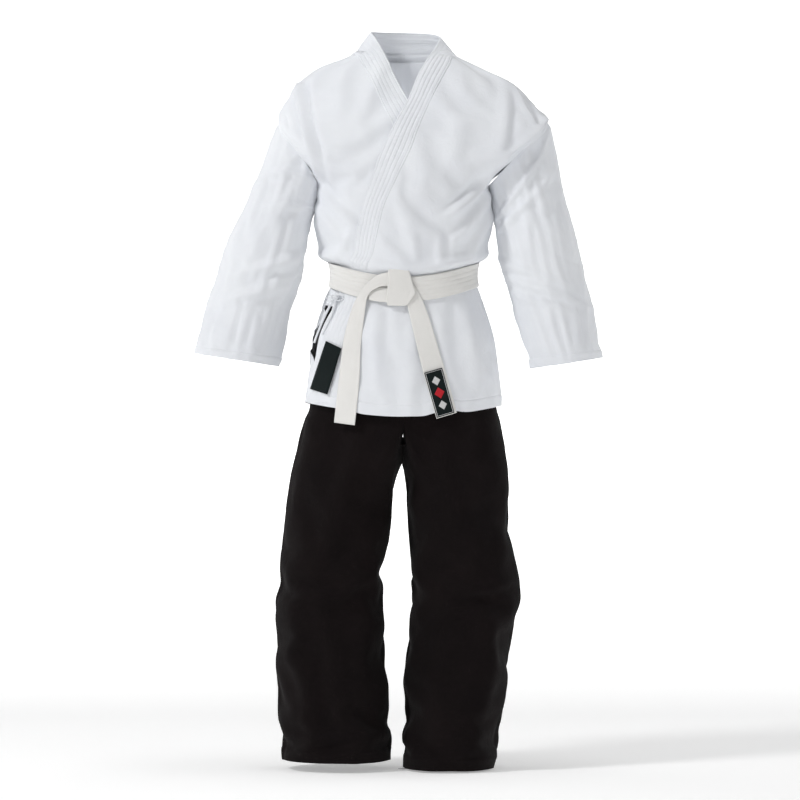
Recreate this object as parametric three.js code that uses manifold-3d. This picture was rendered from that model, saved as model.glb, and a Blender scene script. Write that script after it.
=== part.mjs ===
// Martial arts uniform: a wrap jacket, a belt and drawstring trousers, standing as if worn.
// Units are millimetres, +Z is up, the front faces -Y. "Right" and "left" are the wearer's:
// the wearer's right is at -X. Heights are measured up from the lowest trouser hem, and the
// whole uniform is lowered by HANG_HEIGHT, so that the origin is where a form holds the neck.
import * as THREE from 'three';
import { mergeVertices } from 'three/addons/utils/BufferGeometryUtils.js';
import Module from 'manifold-3d';

const wasm = await Module();
wasm.setup();

// ---------------------------------------------------------------- driving dimensions
const HANG_HEIGHT = 1300;        // height of the held point at the base of the neck
const CLOTH = 1.6;               // thickness of jacket and trouser cloth
const BAND = 2.4;                // thickness of the quilted lapel and neck band
const WEB = 2.0;                 // thickness of the belt
const GAP = 0.3;                 // clearance between layers that touch
const SEAM = 0.3;                // clearance between panels that are sewn edge to edge
const FACING = 22;               // height of every turned hem
const HALF_STEPS = 16;           // facets over half a body section
const BELT_WIDTH = 42;
const BELT_HEIGHT = 911;         // centre of the belt at the sides
const BELT_SAG = 29;             // how far the belt dips at the knot
const ARM_TOP = 1189;            // top of both armhole seams
const ARM_FOOT = 1072;           // armpit
const ARM_STEPS = 6;
const ARM_DEPTH = 62;            // half the armhole, front to back
const NECK_TOP = 1322;           // rim of the panels where the neck band stands
const COLLAR_HEIGHT = 39;
const JACKET_HEM = 656;          // hem height of the jacket at the centre front
const HEM_RISE = 20;             // how much higher the hem is at the sides
const HEM_REACH = 180;           // distance from the middle where the hem has risen fully
const CROTCH = 600;
const LAYER = CLOTH + GAP + BAND + GAP;   // step from the under front to the over front
const LAPEL_OUT = LAYER + GAP + BAND;     // outer face of the over lapel
const BELT_CLEAR = 0.8;          // belt to the layer below it
const PATCH = { width: 32, height: 90, thick: 1.0, x: -141, middle: 738, tilt: 19 };
const LABEL = { width: 32, height: 86, thick: 1.0 };
const EYELET = { outer: 5, inner: 2.5, bevel: 0.6, thick: 1.2, spacing: 44, height: 929 };
const GUSSET_THICK = 2;
const ARMHOLE_FOOT = { right: 150, left: 156, front: 107, back: 111 };
const ARMHOLE_TOP = { right: 228, left: 268, front: 92, back: 99 };
// Top of the slit in each side seam, and half its width at the hem.
const VENT_RIGHT = { top: 853, halfWidth: 14 };
const VENT_LEFT = { top: 715, halfWidth: 8 };

// Jacket sections: height, half width right (-X), half width left (+X), depth front, depth
// back, how much a layer's thickness lifts the section (1 on a level shoulder), armhole.
const BODY = [
  { h: 636, right: 180, left: 180, front: 113, back: 119, lift: 0 },
  { h: 700, right: 176, left: 176, front: 111, back: 117, lift: 0 },
  { h: 790, right: 164, left: 166, front: 106, back: 112, lift: 0 },
  { h: 850, right: 147, left: 149, front: 98, back: 104, lift: 0 },
  { h: 911, right: 127, left: 130, front: 89, back: 95, lift: 0 },
  { h: 960, right: 147, left: 148, front: 99, back: 104, lift: 0 },
  { h: 1015, right: 161, left: 161, front: 106, back: 110, lift: 0 },
  ...armholeSections(),
  { h: 1235, right: 209, left: 230, front: 74, back: 86, lift: 0.4 },
  { h: 1270, right: 188, left: 190, front: 56, back: 72, lift: 0.6 },
  { h: 1292, right: 158, left: 142, front: 45, back: 63, lift: 0.8 },
  { h: 1312, right: 102, left: 98, front: 36, back: 57, lift: 0.7 },
  { h: NECK_TOP, right: 86, left: 88, front: 32, back: 55, lift: 0 },
];
// Left edge and right edge of the over lapel, from the neck to the hem (x, height).
const OVER_EDGE = [[58, 1322], [45, 1302], [27, 1270], [10, 1230], [-17, 1180], [-47, 1115], [-61, 1070],
  [-87, 985], [-93, 934], [-118, 875], [-129, 850], [-149, 808], [-163, 756], [-177, 690], [-180, 620]];
const OVER_SEAM = [[96, 1322], [88, 1297], [70, 1264], [49, 1223], [30, 1181], [14, 1137], [-10, 1087],
  [-36, 1028], [-56, 946], [-82, 853], [-104, 800], [-121, 740], [-135, 670], [-140, 620]];
// The under lapel starts on the other side of the neck and runs down beneath the over front.
const UNDER_EDGE = [[-44, 1322], [10, 1230], [36, 1180], [58, 1115], [68, 1070], [80, 985], [84, 934],
  [88, 860], [105, 760], [112, 690], [114, 620]];
const UNDER_SEAM = [[-96, 1322], [-84, 1311], [-17, 1178], [12, 1110], [28, 1050], [40, 985], [46, 934],
  [50, 860], [62, 760], [68, 690], [70, 620]];

// The waistband is squeezed against the inside of the jacket by the belt.
const waistSize = (key) => between(BODY, BELT_HEIGHT, key) - (CLOTH + GAP) - (BAND + GAP);
const WAIST = { right: waistSize('right'), left: waistSize('left'), front: waistSize('front'),
  back: waistSize('back') };
const TROUSER_HIP = [
  { h: CROTCH + SEAM, right: 189, left: 184, front: 100, back: 105 },
  { h: 640, right: 180, left: 177, front: 102, back: 107 },
  { h: 662, right: 171, left: 171, front: 103, back: 108 },
  { h: 700, right: 168, left: 168, front: 102, back: 107 },
  { h: 790, right: 155, left: 156, front: 97, back: 102 },
  { h: 850, right: 138, left: 139, front: 89, back: 94 },
  { h: 902, ...WAIST },
  { h: 940, ...WAIST },
];
// Leg sections: height, outer edge, deepest line, inner edge (x), half depth. Signed by side.
const LEG_RIGHT = [
  { h: 16, outer: -221, ridge: -122, inner: -25, depth: 92 },
  { h: 120, outer: -227, ridge: -130, inner: -30, depth: 92 },
  { h: 225, outer: -230, ridge: -134, inner: -38, depth: 90 },
  { h: 347, outer: -225, ridge: -132, inner: -42, depth: 90 },
  { h: 450, outer: -215, ridge: -118, inner: -30, depth: 93 },
  { h: 530, outer: -206, ridge: -90, inner: -21, depth: 97 },
  { h: CROTCH, outer: -189, ridge: -12, inner: -6, depth: 100 },
];
const LEG_LEFT = [
  { h: 2, outer: 165, ridge: 84, inner: 2, depth: 92 },
  { h: 110, outer: 179, ridge: 92, inner: 6, depth: 92 },
  { h: 215, outer: 193, ridge: 100, inner: 11, depth: 90 },
  { h: 335, outer: 208, ridge: 112, inner: 21, depth: 90 },
  { h: 430, outer: 194, ridge: 102, inner: 15, depth: 93 },
  { h: 525, outer: 189, ridge: 70, inner: 8, depth: 97 },
  { h: CROTCH, outer: 184, ridge: 8, inner: 3, depth: 100 },
];
// Sleeve sections: the outer point and the inner point (distance from the middle, height).
const SLEEVE_RIGHT = [
  { outer: [262, 1112], inner: [161, 1036], depth: 66 },
  { outer: [298, 1030], inner: [174, 990], depth: 70 },
  { outer: [337, 938], inner: [187, 915], depth: 72 },
  { outer: [363, 850], inner: [207, 840], depth: 74 },
  { outer: [384, 766], inner: [231, 742], depth: 72 },
];
const SLEEVE_LEFT = [
  { outer: [287, 1112], inner: [166, 1036], depth: 66 },
  { outer: [306, 1030], inner: [174, 985], depth: 70 },
  { outer: [329, 940], inner: [184, 920], depth: 72 },
  { outer: [349, 848], inner: [206, 842], depth: 74 },
  { outer: [368, 758], inner: [235, 738], depth: 70 },
];
// Belt tails: height, left edge, right edge.
const TAIL_RIGHT = [[866, -96, -62], [829, -97, -66], [787, -109, -73], [712, -121, -80], [638, -127, -88]];
const TAIL_LEFT = [[862, 4, 40], [812, 14, 53], [765, 27, 66], [738, 34, 73], [646, 60, 98]];

// Colours of the real cloth.
const WHITE_COTTON = { color: 0xe9ebee, roughness: 0.9, metalness: 0 };
const GREY_LINING = { color: 0xd3d6da, roughness: 0.95, metalness: 0 };
const BELT_COTTON = { color: 0xe6e4df, roughness: 0.88, metalness: 0 };
const BLACK_COTTON = { color: 0x1c1818, roughness: 0.92, metalness: 0 };
const DARK_LABEL = { color: 0x1b2323, roughness: 0.7, metalness: 0 };
const NICKEL = { color: 0x9a9a98, roughness: 0.35, metalness: 1 };
const ELASTIC = { color: 0x2a2626, roughness: 0.8, metalness: 0 };

const uniform = new THREE.Group();
const dressed = new THREE.Group();
dressed.position.z = -HANG_HEIGHT;
uniform.add(dressed);

// ---------------------------------------------------------------- shape helpers
function addPiece(name, geometry, finish, at) {
  const mesh = new THREE.Mesh(geometry, new THREE.MeshStandardMaterial(finish));
  mesh.name = name;
  if (at) mesh.position.copy(at);
  dressed.add(mesh);
  return mesh;
}

// Sections through the armhole: the side of the body is a flat, tilted seam there.
function armholeSections() {
  const sections = [];
  for (let k = 0; k <= ARM_STEPS; k += 1) {
    const turn = (k * Math.PI) / ARM_STEPS;
    const along = (1 - Math.cos(turn)) / 2;
    const section = { h: lerp(ARM_FOOT, ARM_TOP, along), lift: 0, arm: ARM_DEPTH * Math.sin(turn) };
    for (const key of Object.keys(ARMHOLE_FOOT)) {
      section[key] = lerp(ARMHOLE_FOOT[key], ARMHOLE_TOP[key], along);
    }
    sections.push(section);
  }
  return sections;
}

function lerp(from, to, share) {
  return from + (to - from) * share;
}

// A value of a table of sections at any height, straight between its rows.
function between(sections, h, key) {
  const last = sections.length - 1;
  let i = 0;
  while (i < last - 1 && sections[i + 1].h < h) i += 1;
  const share = (h - sections[i].h) / (sections[i + 1].h - sections[i].h);
  return lerp(sections[i][key] ?? 0, sections[i + 1][key] ?? 0, Math.min(Math.max(share, 0), 1));
}

// The x of an edge, given as a list of points from top to bottom, at a height.
function edgeAt(edge, h) {
  for (let i = 1; i < edge.length; i += 1) {
    if (h >= edge[i][1]) {
      const share = (h - edge[i][1]) / (edge[i - 1][1] - edge[i][1]);
      return lerp(edge[i][0], edge[i - 1][0], Math.min(share, 1));
    }
  }
  return edge[edge.length - 1][0];
}

// One point of a body section; turn 0 is the wearer's left side, a quarter turn is the front.
function sectionPoint(section, turn, offset) {
  const c = Math.cos(turn);
  const s = Math.sin(turn);
  const arm = Math.max(section.arm ?? 0, 3);
  const half = c > 0 ? section.left : section.right;
  const deep = s >= 0 ? section.front : section.back;
  const side = s >= 0 ? -1 : 1;
  const x = (half + offset) * c;
  const y = side * (arm + (deep + offset - arm) * Math.abs(s));
  return new THREE.Vector3(x, y, section.h + offset * (section.lift ?? 0));
}

// The closed ring of a body section. layer(turn) gives the offset from the body's surface.
function bodyRing(section, layer) {
  const ring = [];
  for (let j = 0; j <= HALF_STEPS; j += 1) {
    const turn = (j * Math.PI) / HALF_STEPS;
    ring.push(sectionPoint(section, turn, layer(turn)));
  }
  for (let j = HALF_STEPS; j <= 2 * HALF_STEPS; j += 1) {
    const turn = (j * Math.PI) / HALF_STEPS;
    const point = sectionPoint(section, turn, layer(turn));
    point.y = Math.abs(point.y);
    ring.push(point);
  }
  return ring;
}

// A closed body between an outer and an inner grid of points. A tube closes on itself.
function sheetBody(outer, inner, isTube) {
  const corners = [];
  const quad = (a, b, c, d) => corners.push(a, b, c, a, c, d);
  const rows = outer.length;
  const columns = outer[0].length;
  const steps = isTube ? columns : columns - 1;
  for (let j = 0; j < steps; j += 1) {
    const k = (j + 1) % columns;
    for (let i = 0; i < rows - 1; i += 1) {
      quad(outer[i][j], outer[i][k], outer[i + 1][k], outer[i + 1][j]);
      quad(inner[i][j], inner[i + 1][j], inner[i + 1][k], inner[i][k]);
    }
    quad(outer[0][j], inner[0][j], inner[0][k], outer[0][k]);
    const top = rows - 1;
    quad(outer[top][j], outer[top][k], inner[top][k], inner[top][j]);
  }
  if (!isTube) {
    const end = columns - 1;
    for (let i = 0; i < rows - 1; i += 1) {
      quad(outer[i][0], outer[i + 1][0], inner[i + 1][0], inner[i][0]);
      quad(outer[i][end], inner[i][end], inner[i + 1][end], outer[i + 1][end]);
    }
  }
  return facingOut(corners);
}

// A closed body lofted through rings, with a fan of triangles at each end.
function loftBody(rings) {
  const corners = [];
  const count = rings[0].length;
  for (let j = 0; j < count; j += 1) {
    const k = (j + 1) % count;
    for (let i = 0; i < rings.length - 1; i += 1) {
      corners.push(rings[i][j], rings[i][k], rings[i + 1][k]);
      corners.push(rings[i][j], rings[i + 1][k], rings[i + 1][j]);
    }
  }
  for (const [ring, flip] of [[rings[0], true], [rings[rings.length - 1], false]]) {
    const middle = new THREE.Vector3();
    ring.forEach((point) => middle.addScaledVector(point, 1 / count));
    for (let j = 0; j < count; j += 1) {
      const k = (j + 1) % count;
      if (flip) corners.push(middle, ring[k], ring[j]);
      else corners.push(middle, ring[j], ring[k]);
    }
  }
  return facingOut(corners);
}

// Triangles as a welded geometry whose faces point outwards.
function facingOut(corners) {
  let volume = 0;
  for (let i = 0; i < corners.length; i += 3) {
    volume += corners[i].dot(new THREE.Vector3().crossVectors(corners[i + 1], corners[i + 2]));
  }
  const numbers = [];
  for (let i = 0; i < corners.length; i += 3) {
    const order = volume > 0 ? [0, 1, 2] : [0, 2, 1];
    order.forEach((o) => numbers.push(...corners[i + o].toArray()));
  }
  const geometry = new THREE.BufferGeometry();
  geometry.setAttribute('position', new THREE.Float32BufferAttribute(numbers, 3));
  return mergeVertices(geometry);
}

function toSolid(geometry) {
  const bare = geometry.clone();
  bare.deleteAttribute('normal');
  bare.deleteAttribute('uv');
  const welded = mergeVertices(bare);
  return new wasm.Manifold(new wasm.Mesh({
    numProp: 3,
    vertProperties: new Float32Array(welded.attributes.position.array),
    triVerts: new Uint32Array(welded.index.array),
  }));
}

function toGeometry(solid) {
  const mesh = solid.getMesh();
  const geometry = new THREE.BufferGeometry();
  geometry.setAttribute('position', new THREE.BufferAttribute(new Float32Array(mesh.vertProperties), 3));
  geometry.setIndex(new THREE.BufferAttribute(new Uint32Array(mesh.triVerts), 1));
  return geometry;
}

// A prism with an outline of (x, height) points, from one depth to another.
function frontPrism(points, yFrom, yTo) {
  const shape = new THREE.Shape(points.map(([x, h]) => new THREE.Vector2(x, h)));
  const geometry = new THREE.ExtrudeGeometry(shape, { depth: yTo - yFrom, bevelEnabled: false });
  geometry.rotateX(Math.PI / 2);
  geometry.translate(0, yTo, 0);
  return geometry;
}

// Reach of the solids that cut the panels apart.
const FAR = 600;                 // beyond every surface of the uniform
const SKY = 1400;                // above every piece
const GROUND = 500;              // below every surface of the jacket and of the trouser hip
const EDGE_END = 620;            // below the hem, where every lapel edge ends

function frontSide(points) {
  return toSolid(frontPrism(points, -FAR, -SEAM / 2));
}

// A rectangle of (x, height) points, from a height up to the sky.
function upright(x0, x1, from) {
  return [[x0, from], [x1, from], [x1, SKY], [x0, SKY]];
}

// ---------------------------------------------------------------- jacket body
const flush = (offset) => () => offset;
// The over front rises from the left side seam until it clears the layers beneath it.
const RAMP = 0.7;
const over = (offset) => (turn) => {
  const isRising = Math.cos(turn) > 0 && Math.sin(turn) < RAMP;
  const share = isRising ? Math.max(Math.sin(turn), 0) / RAMP : 1;
  return offset + LAYER * share;
};

function jacketShell(layerOuter, layerInner) {
  const outer = BODY.map((section) => bodyRing(section, layerOuter));
  const inner = BODY.map((section) => bodyRing(section, layerInner));
  return toSolid(sheetBody(outer, inner, true));
}

// The armhole's ring of points, moved out of the seam by a distance and shrunk by an inset.
function armholeRing(side, shift, inset) {
  const key = side > 0 ? 'left' : 'right';
  const foot = new THREE.Vector3(side * between(BODY, ARM_FOOT, key), 0, ARM_FOOT);
  const top = new THREE.Vector3(side * between(BODY, ARM_TOP, key), 0, ARM_TOP);
  const normal = new THREE.Vector3(side * (top.z - foot.z), 0, -Math.abs(top.x - foot.x)).normalize();
  const middle = foot.clone().add(top).multiplyScalar(0.5).addScaledVector(normal, shift);
  const half = top.clone().sub(foot).multiplyScalar(0.5);
  const reach = (half.length() - inset) / half.length();
  const ring = [];
  for (let k = 0; k < 2 * ARM_STEPS; k += 1) {
    const turn = (k * Math.PI) / ARM_STEPS;
    const point = middle.clone().addScaledVector(half, -Math.cos(turn) * reach);
    point.y = -(ARM_DEPTH - inset) * Math.sin(turn);
    ring.push(point);
  }
  return ring;
}

const ARM_CUT = 14;              // how far the armhole is cut to either side of its seam
function armholeCut(side) {
  return toSolid(loftBody([armholeRing(side, -ARM_CUT, CLOTH), armholeRing(side, ARM_CUT, CLOTH)]));
}

// Everything below the hem line, which is lowest at the centre front.
const HEM_STEP = HEM_REACH / 5;
function belowHem(extra) {
  const side = JACKET_HEM + extra + HEM_RISE;
  const points = [];
  for (let x = HEM_REACH; x >= -HEM_REACH; x -= HEM_STEP) {
    points.push([x, JACKET_HEM + extra + HEM_RISE * (x / HEM_REACH) ** 2]);
  }
  const outline = [[-FAR, GROUND], [FAR, GROUND], [FAR, side], ...points, [-FAR, side]];
  return toSolid(frontPrism(outline, -FAR, FAR));
}

// The parts of the front on one side of an edge.
function rightOf(edge, shift) {
  const line = edge.map(([x, h]) => [x + shift, h]);
  return frontSide([...line, [FAR, EDGE_END], [FAR, SKY], [line[0][0], SKY]]);
}

function leftOf(edge, shift) {
  const line = edge.map(([x, h]) => [x + shift, h]);
  return frontSide([[-FAR, SKY], [line[0][0], SKY], ...line, [-FAR, EDGE_END]]);
}

const hemCut = belowHem(0);
const facingTop = belowHem(FACING);
const armholes = armholeCut(1).add(armholeCut(-1));

// Side vents: a wedge that opens the side seam from its top down past the hem.
const VENT_FOOT = 600;
const VENT_NEAR = 100;           // the wedge reaches from here outwards
const VENT_DEPTH = 200;
function vent(side, { top, halfWidth }) {
  const shape = new THREE.Shape([
    new THREE.Vector2(-SEAM / 2, top),
    new THREE.Vector2(halfWidth, VENT_FOOT),
    new THREE.Vector2(-halfWidth, VENT_FOOT),
  ]);
  const geometry = new THREE.ExtrudeGeometry(shape, { depth: VENT_DEPTH, bevelEnabled: false });
  geometry.rotateX(Math.PI / 2);
  geometry.rotateZ(Math.PI / 2);
  geometry.translate(side > 0 ? VENT_NEAR : -VENT_NEAR - VENT_DEPTH, 0, 0);
  return toSolid(geometry);
}

const vents = vent(-1, VENT_RIGHT).add(vent(1, VENT_LEFT));
const trims = hemCut.add(armholes).add(vents);
const HALF_BACK = {
  right: upright(-FAR, -SEAM / 2, GROUND),
  left: upright(SEAM / 2, FAR, GROUND),
};

const bodyShell = jacketShell(flush(0), flush(-CLOTH));
const overShell = jacketShell(over(0), over(-CLOTH));
for (const side of ['right', 'left']) {
  const half = toSolid(frontPrism(HALF_BACK[side], SEAM / 2, FAR));
  addPiece(`jacket_back_${side}`, toGeometry(bodyShell.intersect(half).subtract(trims)), WHITE_COTTON);
}
const EDGE_TURN = 5;             // the lapel wraps this far past the panel's own edge
const underFront = bodyShell.intersect(leftOf(UNDER_EDGE, -EDGE_TURN)).subtract(trims);
const overFront = overShell.intersect(rightOf(OVER_EDGE, EDGE_TURN)).subtract(trims);
addPiece('jacket_front_right', toGeometry(underFront), WHITE_COTTON);
addPiece('jacket_front_left', toGeometry(overFront), WHITE_COTTON);

const underBand = jacketShell(flush(GAP + BAND), flush(GAP));
const overBand = jacketShell(over(GAP + BAND), over(GAP));
const underLapel = underBand.intersect(leftOf(UNDER_EDGE, 0)).intersect(rightOf(UNDER_SEAM, 0));
addPiece('lapel_right', toGeometry(underLapel.subtract(facingTop).subtract(armholes)), WHITE_COTTON);
const overLapel = overBand.intersect(rightOf(OVER_EDGE, 0)).intersect(leftOf(OVER_SEAM, 0));
addPiece('lapel_left', toGeometry(overLapel.subtract(hemCut).subtract(armholes)), WHITE_COTTON);

// Facings and lining lie against the inside of the panels.
const liningShell = jacketShell(flush(-CLOTH - GAP), flush(-2 * CLOTH - GAP));
const overFacingShell = jacketShell(over(-CLOTH - GAP), over(-2 * CLOTH));
const hemBand = facingTop.subtract(hemCut).subtract(vents);
const backSide = toSolid(frontPrism(upright(-FAR, FAR, GROUND), SEAM / 2, FAR));
addPiece('hem_facing_back', toGeometry(liningShell.intersect(hemBand).intersect(backSide)), WHITE_COTTON);
addPiece('hem_facing_front_right',
  toGeometry(liningShell.intersect(hemBand).intersect(leftOf(UNDER_EDGE, -EDGE_TURN))), WHITE_COTTON);
addPiece('hem_facing_front_left',
  toGeometry(overFacingShell.intersect(hemBand).intersect(rightOf(OVER_EDGE, EDGE_TURN))), WHITE_COTTON);
const YOKE = { half: 120, foot: 1200 };
const yokeArea = toSolid(frontPrism(upright(-YOKE.half, YOKE.half, YOKE.foot), SEAM / 2, FAR));
addPiece('yoke_lining', toGeometry(liningShell.intersect(yokeArea)), GREY_LINING);

// The neck band stands on the rim and leans in towards the neck. Its two ends meet the
// lapels, a sixth of a turn apart at the front, where it is lowest.
const BAND_TOP = { right: 60, left: 66, front: 34, back: 44 };
const BAND_FRONT_HEIGHT = 24;
const BAND_START = Math.PI / 3;
const BAND_STEPS = 20;
function neckBand() {
  const rim = BODY[BODY.length - 1];
  const outer = [[], []];
  const inner = [[], []];
  for (let k = 0; k <= BAND_STEPS; k += 1) {
    const turn = BAND_START - (5 * BAND_START * k) / BAND_STEPS;
    const height = lerp(BAND_FRONT_HEIGHT, COLLAR_HEIGHT, (1 - Math.sin(turn)) / 2);
    const lean = { ...rim, ...BAND_TOP, h: rim.h + height };
    const foot = { ...rim, h: rim.h + GAP };
    const add = (section, row) => {
      const wrapped = ((turn % (2 * Math.PI)) + 2 * Math.PI) % (2 * Math.PI);
      outer[row].push(sectionPoint({ ...section, arm: 0 }, wrapped, BAND / 2));
      inner[row].push(sectionPoint({ ...section, arm: 0 }, wrapped, -BAND / 2));
    };
    add(foot, 0);
    add(lean, 1);
  }
  return sheetBody(outer, inner, false);
}
addPiece('neck_band', neckBand(), WHITE_COTTON);

// ---------------------------------------------------------------- sleeves
function sleeveRings(side, sections, inset) {
  const rings = [armholeRing(side, GAP, inset)];
  for (const { outer, inner, depth } of sections) {
    const top = new THREE.Vector3(side * outer[0], 0, outer[1]);
    const foot = new THREE.Vector3(side * inner[0], 0, inner[1]);
    const middle = top.clone().add(foot).multiplyScalar(0.5);
    const half = top.clone().sub(foot).multiplyScalar(0.5);
    const reach = (half.length() - inset) / half.length();
    const ring = [];
    for (let k = 0; k < 2 * ARM_STEPS; k += 1) {
      const turn = (k * Math.PI) / ARM_STEPS;
      const point = middle.clone().addScaledVector(half, -Math.cos(turn) * reach);
      point.y = -(depth - inset) * Math.sin(turn);
      ring.push(point);
    }
    rings.push(ring);
  }
  return rings;
}

for (const [side, name, sections] of [[-1, 'right', SLEEVE_RIGHT], [1, 'left', SLEEVE_LEFT]]) {
  const tube = sheetBody(sleeveRings(side, sections, 0), sleeveRings(side, sections, CLOTH), true);
  addPiece(`sleeve_${name}`, tube, WHITE_COTTON);
  const ends = (inset) => {
    const [above, cuff] = sleeveRings(side, sections, inset).slice(-2);
    const share = FACING / above[0].distanceTo(cuff[0]);
    return [cuff.map((point, k) => point.clone().lerp(above[k], share)), cuff];
  };
  addPiece(`cuff_facing_${name}`, sheetBody(ends(CLOTH + GAP), ends(2 * CLOTH + GAP), true), WHITE_COTTON);
}

// ---------------------------------------------------------------- belt
// The belt lies on the lapels in front and on the back panels behind.
const FRONT_SHARE = 0.42;
function beltLayer(offset) {
  return (turn) => {
    const share = Math.min(Math.max(Math.sin(turn), 0) / FRONT_SHARE, 1);
    return offset + BELT_CLEAR + LAPEL_OUT * share;
  };
}

function beltWrap(offset) {
  const rows = (layer) => [-1, 1].map((edge) => {
    const ring = [];
    for (let j = 0; j < 2 * HALF_STEPS; j += 1) {
      const turn = (j * Math.PI) / HALF_STEPS;
      const h = BELT_HEIGHT - BELT_SAG * Math.max(Math.sin(turn), 0) ** 2 + (edge * BELT_WIDTH) / 2;
      ring.push(surfacePoint(BODY, h, turn, layer(turn)));
    }
    return ring;
  });
  return sheetBody(rows(beltLayer(offset + WEB)), rows(beltLayer(offset)), true);
}

function surfacePoint(sections, h, turn, offset) {
  const section = { h };
  for (const key of ['right', 'left', 'front', 'back', 'arm']) section[key] = between(sections, h, key);
  return sectionPoint(section, turn, offset);
}

const SECOND = WEB + GAP;
addPiece('belt_wrap_inner', beltWrap(0), BELT_COTTON);
addPiece('belt_wrap_outer', beltWrap(SECOND), BELT_COTTON);
const BELT_FACE = BELT_CLEAR + LAPEL_OUT + SECOND + WEB;   // outer face of the belt over the body
const KNOT_FOOT = 866;
const knotBack = -(between(BODY, KNOT_FOOT, 'front') + BELT_FACE + GAP);
const CLEAR = 2 * GAP;
const KNOT = [
  { name: 'belt_knot_cross', depth: 9, outline: [[-22, KNOT_FOOT], [18, KNOT_FOOT], [13, 908], [-20, 910]] },
  { name: 'belt_knot_loop', depth: 6, outline: [[-60, 868], [-22 - CLEAR, 868], [-20 - CLEAR, 907], [-54, 897]] },
  { name: 'belt_knot_side', depth: 6, outline: [[18 + CLEAR, 872], [34, 880], [32, 900], [13 + CLEAR, 906]] },
];
for (const { name, depth, outline } of KNOT) {
  addPiece(name, frontPrism(outline, knotBack - depth, knotBack), BELT_COTTON);
}

// Depth of the jacket's front surface at a place across and up, on the faceted body.
function frontDepth(x, h, offset) {
  const half = x > 0 ? between(BODY, h, 'left') : between(BODY, h, 'right');
  const turn = Math.acos(Math.min(Math.max(x / (half + offset), -1), 1));
  return surfacePoint(BODY, h, turn, offset).y;
}

// A tail clears the belt above and follows the skirt below; its last stretch lies flat.
const TAIL_CLEAR = 3;
const TAIL_FREE = 830;           // below this height a tail has left the belt
function tailFaces(stations, extra) {
  const rows = stations.map(([h, left, right]) => {
    const offset = h >= TAIL_FREE ? BELT_FACE + 2 * GAP : LAPEL_OUT + TAIL_CLEAR;
    return [left, right].map((x) => new THREE.Vector3(x, frontDepth(x, h, offset), h));
  });
  const [before, end] = rows.slice(-2);
  const slope = (before[1].y - before[0].y) / (before[1].x - before[0].x);
  const middle = (end[0].y + end[1].y) / 2;
  end[0].y = middle - (slope * (end[1].x - end[0].x)) / 2;
  end[1].y = middle + (slope * (end[1].x - end[0].x)) / 2;
  rows.flat().forEach((point) => {
    point.y -= extra;
  });
  return rows;
}
for (const [name, stations] of [['belt_tail_right', TAIL_RIGHT], ['belt_tail_left', TAIL_LEFT]]) {
  addPiece(name, sheetBody(tailFaces(stations, WEB), tailFaces(stations, 0), false), BELT_COTTON);
}

// A flat rectangular plate about a middle, along two directions, standing off by a lift.
function flatPlate(size, middle, across, down, lift) {
  const normal = new THREE.Vector3().crossVectors(across, down).normalize();
  if (normal.y > 0) normal.negate();
  const long = down.clone().normalize();
  const wide = new THREE.Vector3().crossVectors(long, normal).normalize();
  const face = (height) => [-1, 1].map((row) => [-1, 1].map((column) => (
    middle.clone()
      .addScaledVector(long, (row * size.height) / 2)
      .addScaledVector(wide, (column * size.width) / 2)
      .addScaledVector(normal, height))));
  return sheetBody(face(lift + size.thick), face(lift), false);
}

// The label is sewn on the last stretch of the left tail.
function tailLabel() {
  const [upper, lower] = tailFaces(TAIL_LEFT, WEB).slice(-2);
  const upperMiddle = upper[0].clone().lerp(upper[1], 0.5);
  const lowerMiddle = lower[0].clone().lerp(lower[1], 0.5);
  const down = lowerMiddle.clone().sub(upperMiddle);
  return flatPlate(LABEL, upperMiddle.lerp(lowerMiddle, 0.5), lower[1].clone().sub(lower[0]), down, GAP);
}
addPiece('belt_label', tailLabel(), DARK_LABEL);

// The dark patch lies on the foot of the over lapel.
function lapelPatch() {
  const tilt = THREE.MathUtils.degToRad(PATCH.tilt);
  const at = (right, up) => {
    const x = PATCH.x + right * Math.cos(tilt) + up * Math.sin(tilt);
    const h = PATCH.middle - right * Math.sin(tilt) + up * Math.cos(tilt);
    return new THREE.Vector3(x, frontDepth(x, h, LAPEL_OUT), h);
  };
  const across = at(PATCH.width / 2, 0).sub(at(-PATCH.width / 2, 0));
  const down = at(0, -PATCH.height / 2).sub(at(0, PATCH.height / 2));
  return flatPlate(PATCH, at(0, 0), across, down, 2 * GAP);
}
addPiece('lapel_patch', lapelPatch(), DARK_LABEL);

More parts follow.
